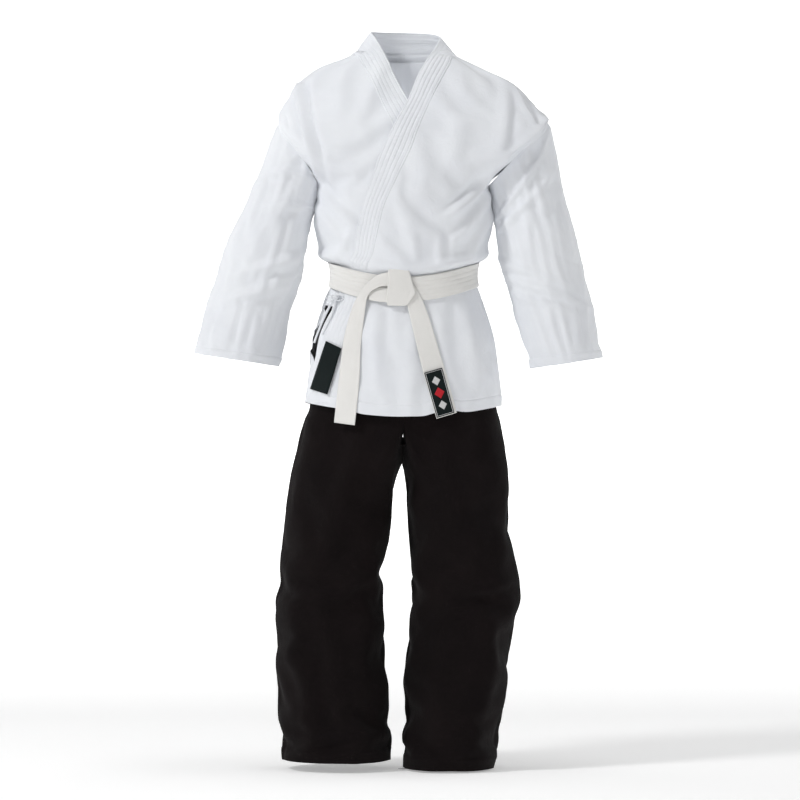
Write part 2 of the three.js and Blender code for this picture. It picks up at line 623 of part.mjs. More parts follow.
// The side tie: a knot under the belt and two tails that hang along the side vent.
const TIE_KNOT = { radius: 6.5, x: -124, h: 868 };
const TIE_RADIUS = 2.2;
const TIE_TAILS = {
  side_tie_tail_back: [[-133, 858], [-142, 836], [-154, 808], [-163, 784]],
  side_tie_tail_front: [[-124, 857], [-130, 838], [-139, 818], [-148, 800]],
};
function onSkirt(x, h, standOff) {
  const half = between(BODY, h, 'right') + LAPEL_OUT + standOff;
  return surfacePoint(BODY, h, Math.acos(Math.max(x / half, -1)), LAPEL_OUT + standOff);
}
const tieKnot = onSkirt(TIE_KNOT.x, TIE_KNOT.h, TIE_KNOT.radius + 2 * GAP);
addPiece('side_tie_knot', new THREE.SphereGeometry(TIE_KNOT.radius, 12, 8), WHITE_COTTON, tieKnot);
for (const [name, route] of Object.entries(TIE_TAILS)) {
  const points = route.map(([x, h]) => onSkirt(x, h, TIE_RADIUS + 3 * GAP));
  const start = points[0].clone().sub(tieKnot).setLength(TIE_KNOT.radius + 3 * GAP).add(tieKnot);
  const path = new THREE.CatmullRomCurve3([start, ...points.slice(1)]);
  const corners = [];
  for (let k = 0; k < 8; k += 1) {
    const turn = (k * Math.PI) / 4;
    corners.push(new THREE.Vector2(TIE_RADIUS * Math.cos(turn), TIE_RADIUS * Math.sin(turn)));
  }
  const options = { steps: 10, extrudePath: path, bevelEnabled: false };
  addPiece(name, new THREE.ExtrudeGeometry(new THREE.Shape(corners), options), WHITE_COTTON);
}

// ---------------------------------------------------------------- trousers
function hipShell(outerOffset, innerOffset, from, to) {
  const heights = [from, ...TROUSER_HIP.map((s) => s.h).filter((h) => h > from && h < to), to];
  const rings = (offset) => heights.map((h) => {
    const ring = [];
    for (let j = 0; j < 2 * HALF_STEPS; j += 1) {
      ring.push(surfacePoint(TROUSER_HIP, h, (j * Math.PI) / HALF_STEPS, offset));
    }
    return ring;
  });
  return sheetBody(rings(outerOffset), rings(innerOffset), true);
}
const hipTop = TROUSER_HIP[TROUSER_HIP.length - 1].h;
const hip = toSolid(hipShell(0, -CLOTH, CROTCH + SEAM, hipTop));
for (const [name, x0, x1] of [['right', -FAR, -SEAM / 2], ['left', SEAM / 2, FAR]]) {
  const half = toSolid(frontPrism(upright(x0, x1, GROUND), -FAR, FAR));
  addPiece(`trouser_hip_${name}`, toGeometry(hip.intersect(half)), BLACK_COTTON);
}
const WAISTBAND = 38;
const ELASTIC_MARGIN = 6;
const waistbandFoot = hipTop - WAISTBAND;
const elasticOut = -CLOTH - GAP;
const elastic = hipShell(elasticOut, elasticOut - WEB, waistbandFoot + ELASTIC_MARGIN, hipTop - ELASTIC_MARGIN);
addPiece('trouser_waistband', hipShell(GAP + BAND, GAP, waistbandFoot, hipTop), BLACK_COTTON);
addPiece('waist_elastic', elastic, ELASTIC);
for (const [name, side] of [['right', -1], ['left', 1]]) {
  const ring = new THREE.LatheGeometry([
    new THREE.Vector2(EYELET.inner, 0),
    new THREE.Vector2(EYELET.outer, 0),
    new THREE.Vector2(EYELET.outer - EYELET.bevel, EYELET.thick),
    new THREE.Vector2(EYELET.inner, EYELET.thick),
    new THREE.Vector2(EYELET.inner, 0),
  ], 16);
  ring.rotateX(Math.PI);
  const x = (side * EYELET.spacing) / 2;
  const half = between(TROUSER_HIP, EYELET.height, side > 0 ? 'left' : 'right') + GAP + BAND;
  const nearest = side * (EYELET.spacing / 2 - EYELET.outer);
  const face = surfacePoint(TROUSER_HIP, EYELET.height, Math.acos(nearest / half), GAP + BAND);
  addPiece(`eyelet_${name}`, ring, NICKEL, new THREE.Vector3(x, face.y - GAP, EYELET.height));
}

// A leg is a front panel and a back panel, sewn along its outside and its inside.
function legRing(section, turn, inset) {
  const c = Math.cos(turn);
  const reach = c > 0 ? section.outer - section.ridge : section.ridge - section.inner;
  const length = Math.sign(reach) * (Math.abs(reach) - inset);
  return new THREE.Vector3(section.ridge + length * c, -(section.depth - inset) * Math.sin(turn), section.h);
}

function legPanel(sections, isFront) {
  const start = isFront ? 0 : Math.PI;
  const shift = isFront ? -SEAM / 2 : SEAM / 2;
  const half = HALF_STEPS / 2;
  const face = (inset) => sections.map((section) => {
    const row = [];
    for (let j = 0; j <= half; j += 1) {
      const point = legRing(section, start + (j * Math.PI) / half, inset);
      point.y += shift;
      row.push(point);
    }
    return row;
  });
  return sheetBody(face(0), face(CLOTH), false);
}

for (const [name, sections] of [['right', LEG_RIGHT], ['left', LEG_LEFT]]) {
  addPiece(`leg_front_${name}`, legPanel(sections, true), BLACK_COTTON);
  addPiece(`leg_back_${name}`, legPanel(sections, false), BLACK_COTTON);
  const low = sections[0];
  const above = { ...low, h: low.h + FACING };
  for (const key of ['outer', 'ridge', 'inner', 'depth']) above[key] = between(sections, above.h, key);
  const rings = (inset) => [low, above].map((section) => {
    const ring = [];
    for (let j = 0; j < HALF_STEPS; j += 1) {
      ring.push(legRing(section, (j * 2 * Math.PI) / HALF_STEPS, inset));
    }
    return ring;
  });
  const inset = CLOTH + GAP + SEAM / 2;
  addPiece(`leg_hem_${name}`, sheetBody(rings(inset), rings(inset + CLOTH), true), BLACK_COTTON);
}
// The gusset closes the crotch between the tops of the legs.
const rightEdge = LEG_RIGHT.at(-1).inner;
const leftEdge = LEG_LEFT.at(-1).inner;
const seat = TROUSER_HIP[0];
const gussetMiddle = new THREE.Vector3(
  (rightEdge + leftEdge) / 2,
  (seat.back - seat.front) / 2,
  CROTCH - GUSSET_THICK / 2,
);
const gusset = new THREE.BoxGeometry(leftEdge - rightEdge - 2 * GAP, seat.front + seat.back - CLOTH, GUSSET_THICK);
addPiece('crotch_gusset', gusset, BLACK_COTTON, gussetMiddle);

export default uniform;
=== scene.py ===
import math

import bmesh
import bpy
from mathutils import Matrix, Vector, noise


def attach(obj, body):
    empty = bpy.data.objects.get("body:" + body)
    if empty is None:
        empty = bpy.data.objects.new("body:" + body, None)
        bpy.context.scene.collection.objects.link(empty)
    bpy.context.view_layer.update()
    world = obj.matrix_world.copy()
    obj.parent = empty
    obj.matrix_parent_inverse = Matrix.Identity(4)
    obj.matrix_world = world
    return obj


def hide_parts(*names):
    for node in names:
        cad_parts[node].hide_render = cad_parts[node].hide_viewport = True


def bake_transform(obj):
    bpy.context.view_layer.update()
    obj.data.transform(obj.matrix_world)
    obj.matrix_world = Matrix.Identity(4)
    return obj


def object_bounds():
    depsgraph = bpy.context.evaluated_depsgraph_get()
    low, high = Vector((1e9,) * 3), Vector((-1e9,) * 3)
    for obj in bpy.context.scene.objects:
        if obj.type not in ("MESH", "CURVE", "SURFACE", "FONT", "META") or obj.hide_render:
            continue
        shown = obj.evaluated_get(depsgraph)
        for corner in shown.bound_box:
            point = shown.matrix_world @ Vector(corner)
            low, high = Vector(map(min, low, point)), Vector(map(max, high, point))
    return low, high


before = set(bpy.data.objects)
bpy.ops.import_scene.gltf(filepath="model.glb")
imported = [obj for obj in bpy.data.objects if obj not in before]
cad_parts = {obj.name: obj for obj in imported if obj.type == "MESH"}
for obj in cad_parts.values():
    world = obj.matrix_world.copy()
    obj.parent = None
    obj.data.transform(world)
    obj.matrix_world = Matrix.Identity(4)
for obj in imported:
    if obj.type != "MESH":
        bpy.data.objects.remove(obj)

# A martial arts uniform: wrap jacket, belt and drawstring trousers, standing as if worn.
# Shapes are worked out in millimetres. Heights count up from the lowest trouser hem; the
# frame's origin is HANG_HEIGHT above it. The front faces -Y, and the wearer's left is +X.
CAD_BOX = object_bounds()
MM = 0.001
HANG_HEIGHT = 1300
CLOTH = 1.6
BAND = 2.4
GAP = 0.3
LAYER = CLOTH + GAP + BAND + GAP
LAPEL_OUT = LAYER + GAP + BAND
BELT_HEIGHT = 911
BELT_SAG = 29
BELT_WIDTH = 42
ARM_FOOT = 1072
ARM_TOP = 1189
ARM_DEPTH = 62
NECK_TOP = 1322
JACKET_HEM = 656
HEM_RISE = 20
CROTCH = 600

# ------------------------------------------------------------------ tables of the shape
# Jacket sections: height, half width right, half width left, depth front, depth back.
BODY = [
    (636, 180, 180, 113, 119),
    (700, 176, 176, 111, 117),
    (790, 164, 166, 106, 112),
    (850, 147, 149, 98, 104),
    (911, 127, 130, 89, 95),
    (960, 147, 148, 99, 104),
    (1015, 161, 161, 106, 110),
    (1072, 150, 156, 107, 111),
    (1130, 189, 212, 100, 105),
    (1189, 228, 266, 92, 99),
    (1235, 211, 232, 76, 88),
    (1270, 186, 192, 58, 74),
    (1292, 157, 143, 46, 64),
    (1312, 101, 98, 36, 57),
    (1322, 86, 88, 32, 55),
]
RIGHT, LEFT, DEEP_FRONT, DEEP_BACK = 1, 2, 3, 4
# Edges of the over lapel and the under lapel, from the neck to the hem (x, height).
OVER_EDGE = [(58, 1322), (45, 1302), (27, 1270), (10, 1230), (-17, 1180), (-47, 1115), (-61, 1070),
             (-87, 985), (-93, 934), (-118, 875), (-129, 850), (-149, 808), (-163, 756), (-177, 690),
             (-181, 620)]
OVER_SEAM = [(96, 1322), (88, 1297), (70, 1264), (49, 1223), (30, 1181), (14, 1137), (-10, 1087),
             (-36, 1028), (-56, 946), (-82, 853), (-104, 800), (-121, 740), (-135, 670), (-140, 620)]
UNDER_EDGE = [(-44, 1322), (10, 1230), (36, 1180), (58, 1115), (68, 1070), (80, 985), (84, 934),
              (88, 860), (105, 760), (112, 690), (114, 620)]
UNDER_SEAM = [(-96, 1322), (-84, 1311), (-17, 1178), (12, 1110), (28, 1050), (40, 985), (46, 934),
              (50, 860), (62, 760), (68, 690), (70, 620)]
# Leg sections from the hem to the waist: height, outer, ridge, inner, depth front, depth back.
LEG_RIGHT = [
    (16, -221, -122, -25, 92, 92), (120, -227, -130, -30, 92, 92), (225, -230, -134, -38, 90, 90),
    (347, -225, -132, -42, 90, 90), (450, -215, -118, -30, 93, 94), (530, -206, -88, -19, 97, 100),
    (598, -190, -22, 0.6, 100, 104), (640, -182, -3, 0.6, 102, 107),
    (662, -172, -2, 0.6, 103, 108), (700, -168, -2, 0.6, 102, 107), (790, -155, -2, 0.6, 97, 102),
    (850, -138, -2, 0.6, 89, 94), (902, -122, -2, 0.6, 84, 90), (938, -122, -2, 0.6, 84, 90)]
LEG_LEFT = [
    (2, 165, 84, 2, 92, 92), (110, 179, 92, 6, 92, 92), (215, 193, 100, 11, 90, 90),
    (335, 208, 112, 21, 90, 90), (430, 194, 102, 15, 93, 94), (525, 189, 70, 8, 97, 100),
    (598, 184, 18, -0.6, 100, 104), (640, 177, 3, -0.6, 102, 107),
    (662, 172, 2, -0.6, 103, 108), (700, 168, 2, -0.6, 102, 107), (790, 156, 2, -0.6, 97, 102),
    (850, 139, 2, -0.6, 89, 94), (902, 125, 2, -0.6, 84, 90), (938, 125, 2, -0.6, 84, 90)]
# Sleeve sections: outer point (distance from the middle, height), inner point, half depth.
SLEEVE_RIGHT = [(228, 1189, 150, 1072, 62), (262, 1112, 161, 1036, 66), (298, 1030, 174, 990, 70),
                (337, 938, 187, 915, 72), (363, 850, 207, 840, 74), (384, 766, 231, 742, 72)]
SLEEVE_LEFT = [(268, 1189, 156, 1072, 62), (287, 1112, 166, 1036, 66), (306, 1030, 174, 985, 70),
               (329, 940, 184, 920, 72), (349, 848, 206, 842, 74), (368, 758, 235, 738, 70)]


# ------------------------------------------------------------------ small helpers
def lerp(a, b, share):
    return a + (b - a) * share


def smooth_step(value):
    value = min(max(value, 0.0), 1.0)
    return value * value * (3 - 2 * value)


def at_height(rows, h, column):
    """A column of a table at any height, on a smooth curve through its rows."""
    last = len(rows) - 1
    i = 0
    while i < last - 1 and rows[i + 1][0] < h:
        i += 1
    h0, h1 = rows[i][0], rows[i + 1][0]
    v0, v1 = rows[i][column], rows[i + 1][column]
    step = h1 - h0
    share = min(max((h - h0) / step, 0.0), 1.0)

    def slope(k):
        if k == 0 or k == last:
            return None
        before = (rows[k][column] - rows[k - 1][column]) / (rows[k][0] - rows[k - 1][0])
        after = (rows[k + 1][column] - rows[k][column]) / (rows[k + 1][0] - rows[k][0])
        if before * after <= 0:
            return 0.0
        return 2 * before * after / (before + after)

    chord = (v1 - v0) / step
    m0 = slope(i)
    m1 = slope(i + 1)
    m0 = chord if m0 is None else m0
    m1 = chord if m1 is None else m1
    s2, s3 = share * share, share ** 3
    return ((2 * s3 - 3 * s2 + 1) * v0 + (s3 - 2 * s2 + share) * step * m0
            + (3 * s2 - 2 * s3) * v1 + (s3 - s2) * step * m1)


def edge_at(edge, h):
    """The x of an edge, listed from top to bottom, at a height."""
    rows = [(point[1], point[0]) for point in reversed(edge)]
    return at_height(rows, h, 1)


def point_mm(x, y, h):
    return Vector((x * MM, y * MM, (h - HANG_HEIGHT) * MM))


def wander(x, y, z, scale, size):
    """Slow random drift of a surface: size is the height, scale the width, both in mm."""
    return size * noise.noise(Vector((x / scale, y / scale, z / scale)))


def fold(x, h, line, height, width, sharp=0.0):
    """A fold of cloth along a line (x, h) to (x, h). sharp adds a shadowed hollow beside it."""
    (ax, ah), (bx, bh) = line
    dx, dh = bx - ax, bh - ah
    length = math.hypot(dx, dh)
    along = ((x - ax) * dx + (h - ah) * dh) / (length * length)
    across = ((x - ax) * dh - (h - ah) * dx) / length
    if along < -0.35 or along > 1.35 or abs(across) > 4 * width:
        return 0.0
    ends = smooth_step((along + 0.25) / 0.5) * smooth_step((1.25 - along) / 0.5)
    ridge = math.exp(-(across / width) ** 2)
    hollow = (across / width) * ridge * 2.3
    return height * ends * (ridge * (1 - abs(sharp)) + sharp * hollow)


def folds(x, h, rows):
    return sum(fold(x, h, *row) for row in rows)


def spline(points, share):
    """A point on the smooth curve through a list of rows of points."""
    last = len(points) - 1
    position = min(max(share * last, 0.0), last - 1e-6)
    i = int(position)
    t = position - i
    before = points[max(i - 1, 0)]
    after = points[min(i + 2, last)]
    a, b = points[i], points[i + 1]

    def curve(p, q, r, s):
        square = 2 * p - 5 * q + 4 * r - s
        cube = 3 * q - p - 3 * r + s
        return 0.5 * ((2 * q) + (r - p) * t + square * t * t + cube * t ** 3)

    return [curve(*values) for values in zip(before, a, b, after)]


# ------------------------------------------------------------------ meshes
def grid_object(name, rows, material, closed=False, thickness=CLOTH):
    """A sheet of quads through rows of points, with UVs in metres along and across."""
    count = len(rows[0])
    vertices = [tuple(point) for row in rows for point in row]
    faces = []
    columns = count if closed else count - 1
    for i in range(len(rows) - 1):
        for j in range(columns):
            k = (j + 1) % count
            faces.append((i * count + j, i * count + k, (i + 1) * count + k, (i + 1) * count + j))
    mesh = bpy.data.meshes.new(name)
    mesh.from_pydata(vertices, [], faces)
    obj = bpy.data.objects.new(name, mesh)
    bpy.context.collection.objects.link(obj)
    lay_uvs(mesh, rows, closed, faces)
    mesh.materials.append(material)
    mesh.polygons.foreach_set("use_smooth", [True] * len(mesh.polygons))
    if thickness:
        solid = obj.modifiers.new("thickness", "SOLIDIFY")
        solid.thickness = thickness * MM
        solid.offset = -1
        solid.use_even_offset = False
    return obj


def lay_uvs(mesh, rows, closed, faces):
    """Measures the middle row and the middle column, and lays the whole sheet out by them."""
    count = len(rows[0])
    columns = count if closed else count - 1
    middle_row = rows[len(rows) // 2]
    middle_column = [row[count // 2] for row in rows]
    run_u = [0.0]
    for j in range(1, count + 1):
        run_u.append(run_u[-1] + (middle_row[j % count] - middle_row[j - 1]).length)
    run_v = [0.0]
    for i in range(1, len(rows)):
        run_v.append(run_v[-1] + (middle_column[i] - middle_column[i - 1]).length)
    layer = mesh.uv_layers.new(name="cloth")
    loop = 0
    for f in range(len(faces)):
        j = f % columns
        i = f // columns
        for corner_i, corner_j in ((i, j), (i, j + 1), (i + 1, j + 1), (i + 1, j)):
            layer.data[loop].uv = (run_u[corner_j], run_v[corner_i])
            loop += 1


def flip(obj):
    obj.data.flip_normals()
    return obj


# ------------------------------------------------------------------ materials
class Nodes:
    """A short way to write a node tree."""

    def __init__(self, name):
        self.material = bpy.data.materials.new(name)
        self.material.use_nodes = True
        self.tree = self.material.node_tree
        self.shader = self.tree.nodes["Principled BSDF"]

    def add(self, kind, **values):
        node = self.tree.nodes.new(kind)
        for key, value in values.items():
            if key in node.inputs:
                node.inputs[key].default_value = value
            else:
                setattr(node, key, value)
        return node

    def link(self, source, target):
        self.tree.links.new(source, target)

    def put(self, **values):
        for key, value in values.items():
            self.shader.inputs[key.replace("_", " ")].default_value = value


def cotton(name, light, dark, weave=0.0011, sheen=0.25, rough=0.86, weave_depth=0.25, crumple=0.35,
           gloss=0.25):
    """Woven cotton: threads, a slow change of colour, and fine crumples in the bump."""
    n = Nodes(name)
    n.put(Roughness=rough, Sheen_Weight=sheen, Sheen_Roughness=0.5)
    n.shader.inputs["Specular IOR Level"].default_value = gloss
    uv = n.add("ShaderNodeUVMap", uv_map="cloth")
    place = n.add("ShaderNodeTexCoord")
    drift = n.add("ShaderNodeTexNoise", Scale=9.0, Detail=4.0, Roughness=0.6)
    n.link(place.outputs["Object"], drift.inputs["Vector"])
    tone = n.add("ShaderNodeValToRGB")
    tone.color_ramp.elements[0].position = 0.32
    tone.color_ramp.elements[0].color = (*dark, 1)
    tone.color_ramp.elements[1].position = 0.68
    tone.color_ramp.elements[1].color = (*light, 1)
    n.link(drift.outputs["Fac"], tone.inputs["Fac"])
    n.link(tone.outputs["Color"], n.shader.inputs["Base Color"])
    warp = n.add("ShaderNodeTexWave", bands_direction="X", Scale=0.314 / weave, Distortion=0.4, Detail=1.0)
    weft = n.add("ShaderNodeTexWave", bands_direction="Y", Scale=0.314 / weave, Distortion=0.4, Detail=1.0)
    n.link(uv.outputs["UV"], warp.inputs["Vector"])
    n.link(uv.outputs["UV"], weft.inputs["Vector"])
    threads = n.add("ShaderNodeMath", operation="MULTIPLY")
    n.link(warp.outputs["Fac"], threads.inputs[0])
    n.link(weft.outputs["Fac"], threads.inputs[1])
    weave_bump = n.add("ShaderNodeBump", Strength=weave_depth, Distance=0.0004)
    n.link(threads.outputs[0], weave_bump.inputs["Height"])
    crease = n.add("ShaderNodeTexNoise", Scale=34.0, Detail=5.0, Roughness=0.55, Distortion=0.6)
    n.link(place.outputs["Object"], crease.inputs["Vector"])
    crease_bump = n.add("ShaderNodeBump", Strength=crumple, Distance=0.004)
    n.link(crease.outputs["Fac"], crease_bump.inputs["Height"])
    n.link(weave_bump.outputs["Normal"], crease_bump.inputs["Normal"])
    n.link(crease_bump.outputs["Normal"], n.shader.inputs["Normal"])
    return n.material


def plain_cloth(name, colour, rough, scale, strength):
    """A small patch of satin or ribbed cloth."""
    n = Nodes(name)
    n.put(Roughness=rough, Sheen_Weight=0.02)
    n.shader.inputs["Specular IOR Level"].default_value = 0.12
    place = n.add("ShaderNodeTexCoord")
    speckle = n.add("ShaderNodeTexNoise", Scale=scale, Detail=3.0)
    n.link(place.outputs["Object"], speckle.inputs["Vector"])
    tone = n.add("ShaderNodeValToRGB")
    tone.color_ramp.elements[0].color = (*[0.7 * c for c in colour], 1)
    tone.color_ramp.elements[1].color = (*[1.3 * c for c in colour], 1)
    n.link(speckle.outputs["Fac"], tone.inputs["Fac"])
    n.link(tone.outputs["Color"], n.shader.inputs["Base Color"])
    bump = n.add("ShaderNodeBump", Strength=strength, Distance=0.0006)
    n.link(speckle.outputs["Fac"], bump.inputs["Height"])
    n.link(bump.outputs["Normal"], n.shader.inputs["Normal"])
    return n.material


def nickel_plate():
    n = Nodes("nickel_plate")
    n.put(Metallic=1.0, Roughness=0.3)
    place = n.add("ShaderNodeTexCoord")
    wear = n.add("ShaderNodeTexNoise", Scale=400.0, Detail=3.0)
    n.link(place.outputs["Object"], wear.inputs["Vector"])
    tone = n.add("ShaderNodeValToRGB")
    tone.color_ramp.elements[0].color = (0.42, 0.42, 0.41, 1)
    tone.color_ramp.elements[1].color = (0.66, 0.66, 0.64, 1)
    n.link(wear.outputs["Fac"], tone.inputs["Fac"])
    n.link(tone.outputs["Color"], n.shader.inputs["Base Color"])
    return n.material


JACKET_WHITE = cotton("jacket_white", (0.84, 0.86, 0.89), (0.79, 0.81, 0.85))
LINING_GREY = cotton("lining_grey", (0.84, 0.86, 0.89), (0.78, 0.80, 0.84))
BELT_WHITE = cotton("belt_white", (0.83, 0.82, 0.795), (0.78, 0.77, 0.745), weave=0.0015,
                    weave_depth=0.4, crumple=0.15)
TROUSER_BLACK = cotton("trouser_black", (0.0080, 0.0054, 0.0056), (0.0052, 0.0036, 0.0038),
                       sheen=0.02, rough=0.95, crumple=0.4, gloss=0.1)
LABEL_DARK = plain_cloth("label_dark", (0.0062, 0.0108, 0.0108), 0.75, 1500.0, 0.3)
LABEL_WHITE = plain_cloth("label_thread", (0.62, 0.62, 0.62), 0.6, 2500.0, 0.3)
LABEL_RED = plain_cloth("label_red_thread", (0.50, 0.02, 0.03), 0.6, 2500.0, 0.3)
ELASTIC_BLACK = plain_cloth("elastic_black", (0.013, 0.012, 0.012), 0.8, 900.0, 0.6)
NICKEL = nickel_plate()


# ------------------------------------------------------------------ the jacket's surface
# Folds of the jacket's front and back: line, height, width, and how one-sided each is.
FRONT_FOLDS = [
    (((-187, 1268), (-163, 1155)), 11, 8, 0.8),
    (((-163, 1160), (-146, 1084)), 8, 9, 0.7),
    (((-205, 1225), (-168, 1120)), 4, 11, 0.3),
    (((-152, 1078), (-84, 1000)), 7, 11, 0.5),
    (((-158, 1050), (-104, 968)), 6, 10, 0.5),
    (((-160, 1020), (-118, 952)), 4, 9, 0.3),
    (((-120, 1180), (-88, 1060)), 2.5, 18, 0.0),
    (((262, 1192), (166, 1104)), 12, 10, 0.7),
    (((232, 1236), (260, 1196)), 9, 8, 0.6),
    (((206, 1252), (236, 1192)), 8, 9, 0.5),
    (((190, 1244), (178, 1130)), 6, 13, 0.5),
    (((158, 1096), (76, 1024)), 10, 10, -0.6),
    (((160, 1070), (92, 984)), 8, 10, -0.5),
    (((160, 1030), (112, 954)), 6, 9, -0.4),
    (((120, 1210), (70, 1090)), 2.5, 22, 0.0),
    (((40, 1120), (6, 960)), 2.0, 20, 0.0),
    (((-98, 985), (-112, 938)), 3, 7, 0.3),
    (((20, 984), (26, 938)), 3, 8, 0.3),
    (((62, 990), (60, 936)), 3.5, 8, -0.3),
    (((92, 982), (86, 936)), 3, 7, 0.3),
    (((122, 976), (112, 936)), 3.5, 7, -0.3),
    (((58, 846), (84, 700)), 4, 16, 0.3),
    (((112, 856), (142, 700)), 4.5, 15, 0.3),
    (((30, 842), (16, 690)), 2.5, 20, 0.0),
    (((-40, 850), (-46, 700)), 3, 16, 0.3),
    (((44, 690), (86, 676)), 2.5, 9, 0.0),
    (((-60, 850), (-84, 720)), 2.5, 12, 0.0),
]
BACK_FOLDS = [
    (((-150, 1080), (-60, 1010)), 5, 13, 0.3),
    (((-156, 1040), (-84, 960)), 5, 12, 0.3),
    (((160, 1084), (64, 1004)), 5, 13, -0.3),
    (((160, 1040), (90, 956)), 5, 12, -0.3),
    (((-190, 1240), (-160, 1110)), 5, 14, 0.4),
    (((226, 1220), (172, 1106)), 6, 14, -0.4),
    (((-60, 990), (-56, 938)), 4, 9, 0.3),
    (((-20, 996), (-22, 938)), 4, 9, -0.3),
    (((24, 992), (20, 938)), 4, 9, 0.3),
    (((66, 988), (60, 938)), 4, 9, -0.3),
    (((-100, 860), (-128, 690)), 5, 18, 0.3),
    (((-36, 860), (-44, 690)), 5, 20, 0.0),
    (((30, 860), (40, 690)), 5, 20, 0.0),
    (((96, 860), (124, 690)), 5, 18, -0.3),
]


def arm_depth(h):
    """Half the armhole's opening, front to back, at a height: nothing outside the armhole."""
    share = 2 * (h - ARM_FOOT) / (ARM_TOP - ARM_FOOT) - 1
    return ARM_DEPTH * math.sqrt(max(1 - share * share, 0.0))


def arm_fullness(h, reach):
    """The armhole's depth as the body feels it: exact at the seam, spread out away from it."""
    middle = (ARM_FOOT + ARM_TOP) / 2
    spread = ARM_DEPTH * math.exp(-((h - middle) / 62) ** 2)
    return lerp(arm_depth(h), spread, smooth_step(reach / 0.35))


def belt_middle(turn):
    return BELT_HEIGHT - BELT_SAG * max(math.sin(turn), 0.0) ** 2


def folded(x, h, turn, is_front):
    """Height of the folds at a place; none where the belt presses or the neck band starts."""
    rows = FRONT_FOLDS if is_front else BACK_FOLDS
    seed = 0.0 if is_front else 700.0
    total = folds(x, h, rows) * (1 - 0.6 * under_tail(x, h, turn))
    total = total + wander(x, seed, h, 85, 4.0) + wander(x + 300, seed, h, 34, 1.3)
    belt_away = abs(h - belt_middle(turn)) - 0.5 * BELT_WIDTH
    free_belt = smooth_step(belt_away / 22)
    free_neck = smooth_step((NECK_TOP - h) / 60)
    return total * free_belt * free_neck


def half_width(turn, h):
    return at_height(BODY, h, LEFT if math.cos(turn) > 0 else RIGHT)


def plain_point(turn, h, offset):
    """A point of the jacket's surface before the cloth settles."""
    c, s = math.cos(turn), math.sin(turn)
    is_front = s >= -1e-9
    half = half_width(turn, h)
    deep = at_height(BODY, h, DEEP_FRONT if is_front else DEEP_BACK)
    arm = arm_fullness(h, abs(s))
    side = -1 if is_front else 1
    edge_calm = smooth_step(abs(s) / 0.12)
    out = offset + folded(half * c, h, turn, is_front) * edge_calm + blouse(turn, h)
    x = (half + out) * c
    y = side * (arm + (deep + out - arm) * abs(s))
    lift = out * 0.8 * smooth_step((h - ARM_TOP) / 110) * smooth_step((NECK_TOP + 4 - h) / 12)
    return Vector((x, y, h + lift))


def body_point(turn, h, offset):
    """A point of the jacket's surface, a distance outside the under front's face."""
    return plain_point(turn, h, offset) + settled(turn, h)


def blouse(turn, h):
    """The cloth swells just above the belt, where it is pulled up over it."""
    above = h - belt_middle(turn) - 0.5 * BELT_WIDTH
    return 8 * math.exp(-((above - 17) / 13) ** 2) * smooth_step(above / 9)


HEM_FOLD = 21                    # height of the turned and stitched hem
HEM_ROWS = [0.0, 1.2, 3, 6, 9, 12, 15, 17.5, 19, 20, 21, 22, 23.5, 26]


def hem_relief(distance):
    """The turned hem is a little thicker, and its row of stitches pulls a groove."""
    thicker = 0.9 if distance < HEM_FOLD else 0.0
    return thicker - 0.9 * math.exp(-((distance - HEM_FOLD + 1) / 1.2) ** 2)


# ------------------------------------------------------------------ sleeves
SLEEVE_FOLDS_RIGHT = [          # share of the length, turn, how it runs, height, width
    (0.56, 0.35, 0.9, 6, 15), (0.64, 0.30, 1.0, 5, 13), (0.71, 0.45, 0.8, 5, 13),
    (0.16, 0.60, 1.4, 6, 13), (0.28, 0.40, 1.0, 4, 16), (0.86, 0.65, 0.5, 3, 18),
]
SLEEVE_FOLDS_LEFT = [
    (0.16, 0.50, -1.2, 6, 13), (0.30, 0.40, -0.9, 4, 15), (0.60, 0.30, 0.9, 5, 14),
    (0.68, 0.35, 0.8, 5, 12), (0.76, 0.40, 0.7, 4, 12), (0.92, 0.60, 0.4, 2.5, 18),
]
SLEEVES = (("right", -1, SLEEVE_RIGHT, SLEEVE_FOLDS_RIGHT), ("left", 1, SLEEVE_LEFT, SLEEVE_FOLDS_LEFT))
SLEEVE_LENGTH = 440
SLEEVE_WRAP = 120               # how far a fold runs along the sleeve in half a turn
SLEEVE_TURNS = 84
SLEEVE_ROWS = 120


def sleeve_section(sections, share):
    """Outer x and height, inner x and height, half depth, on a curve along the sleeve."""
    return spline([list(section) for section in sections], share)


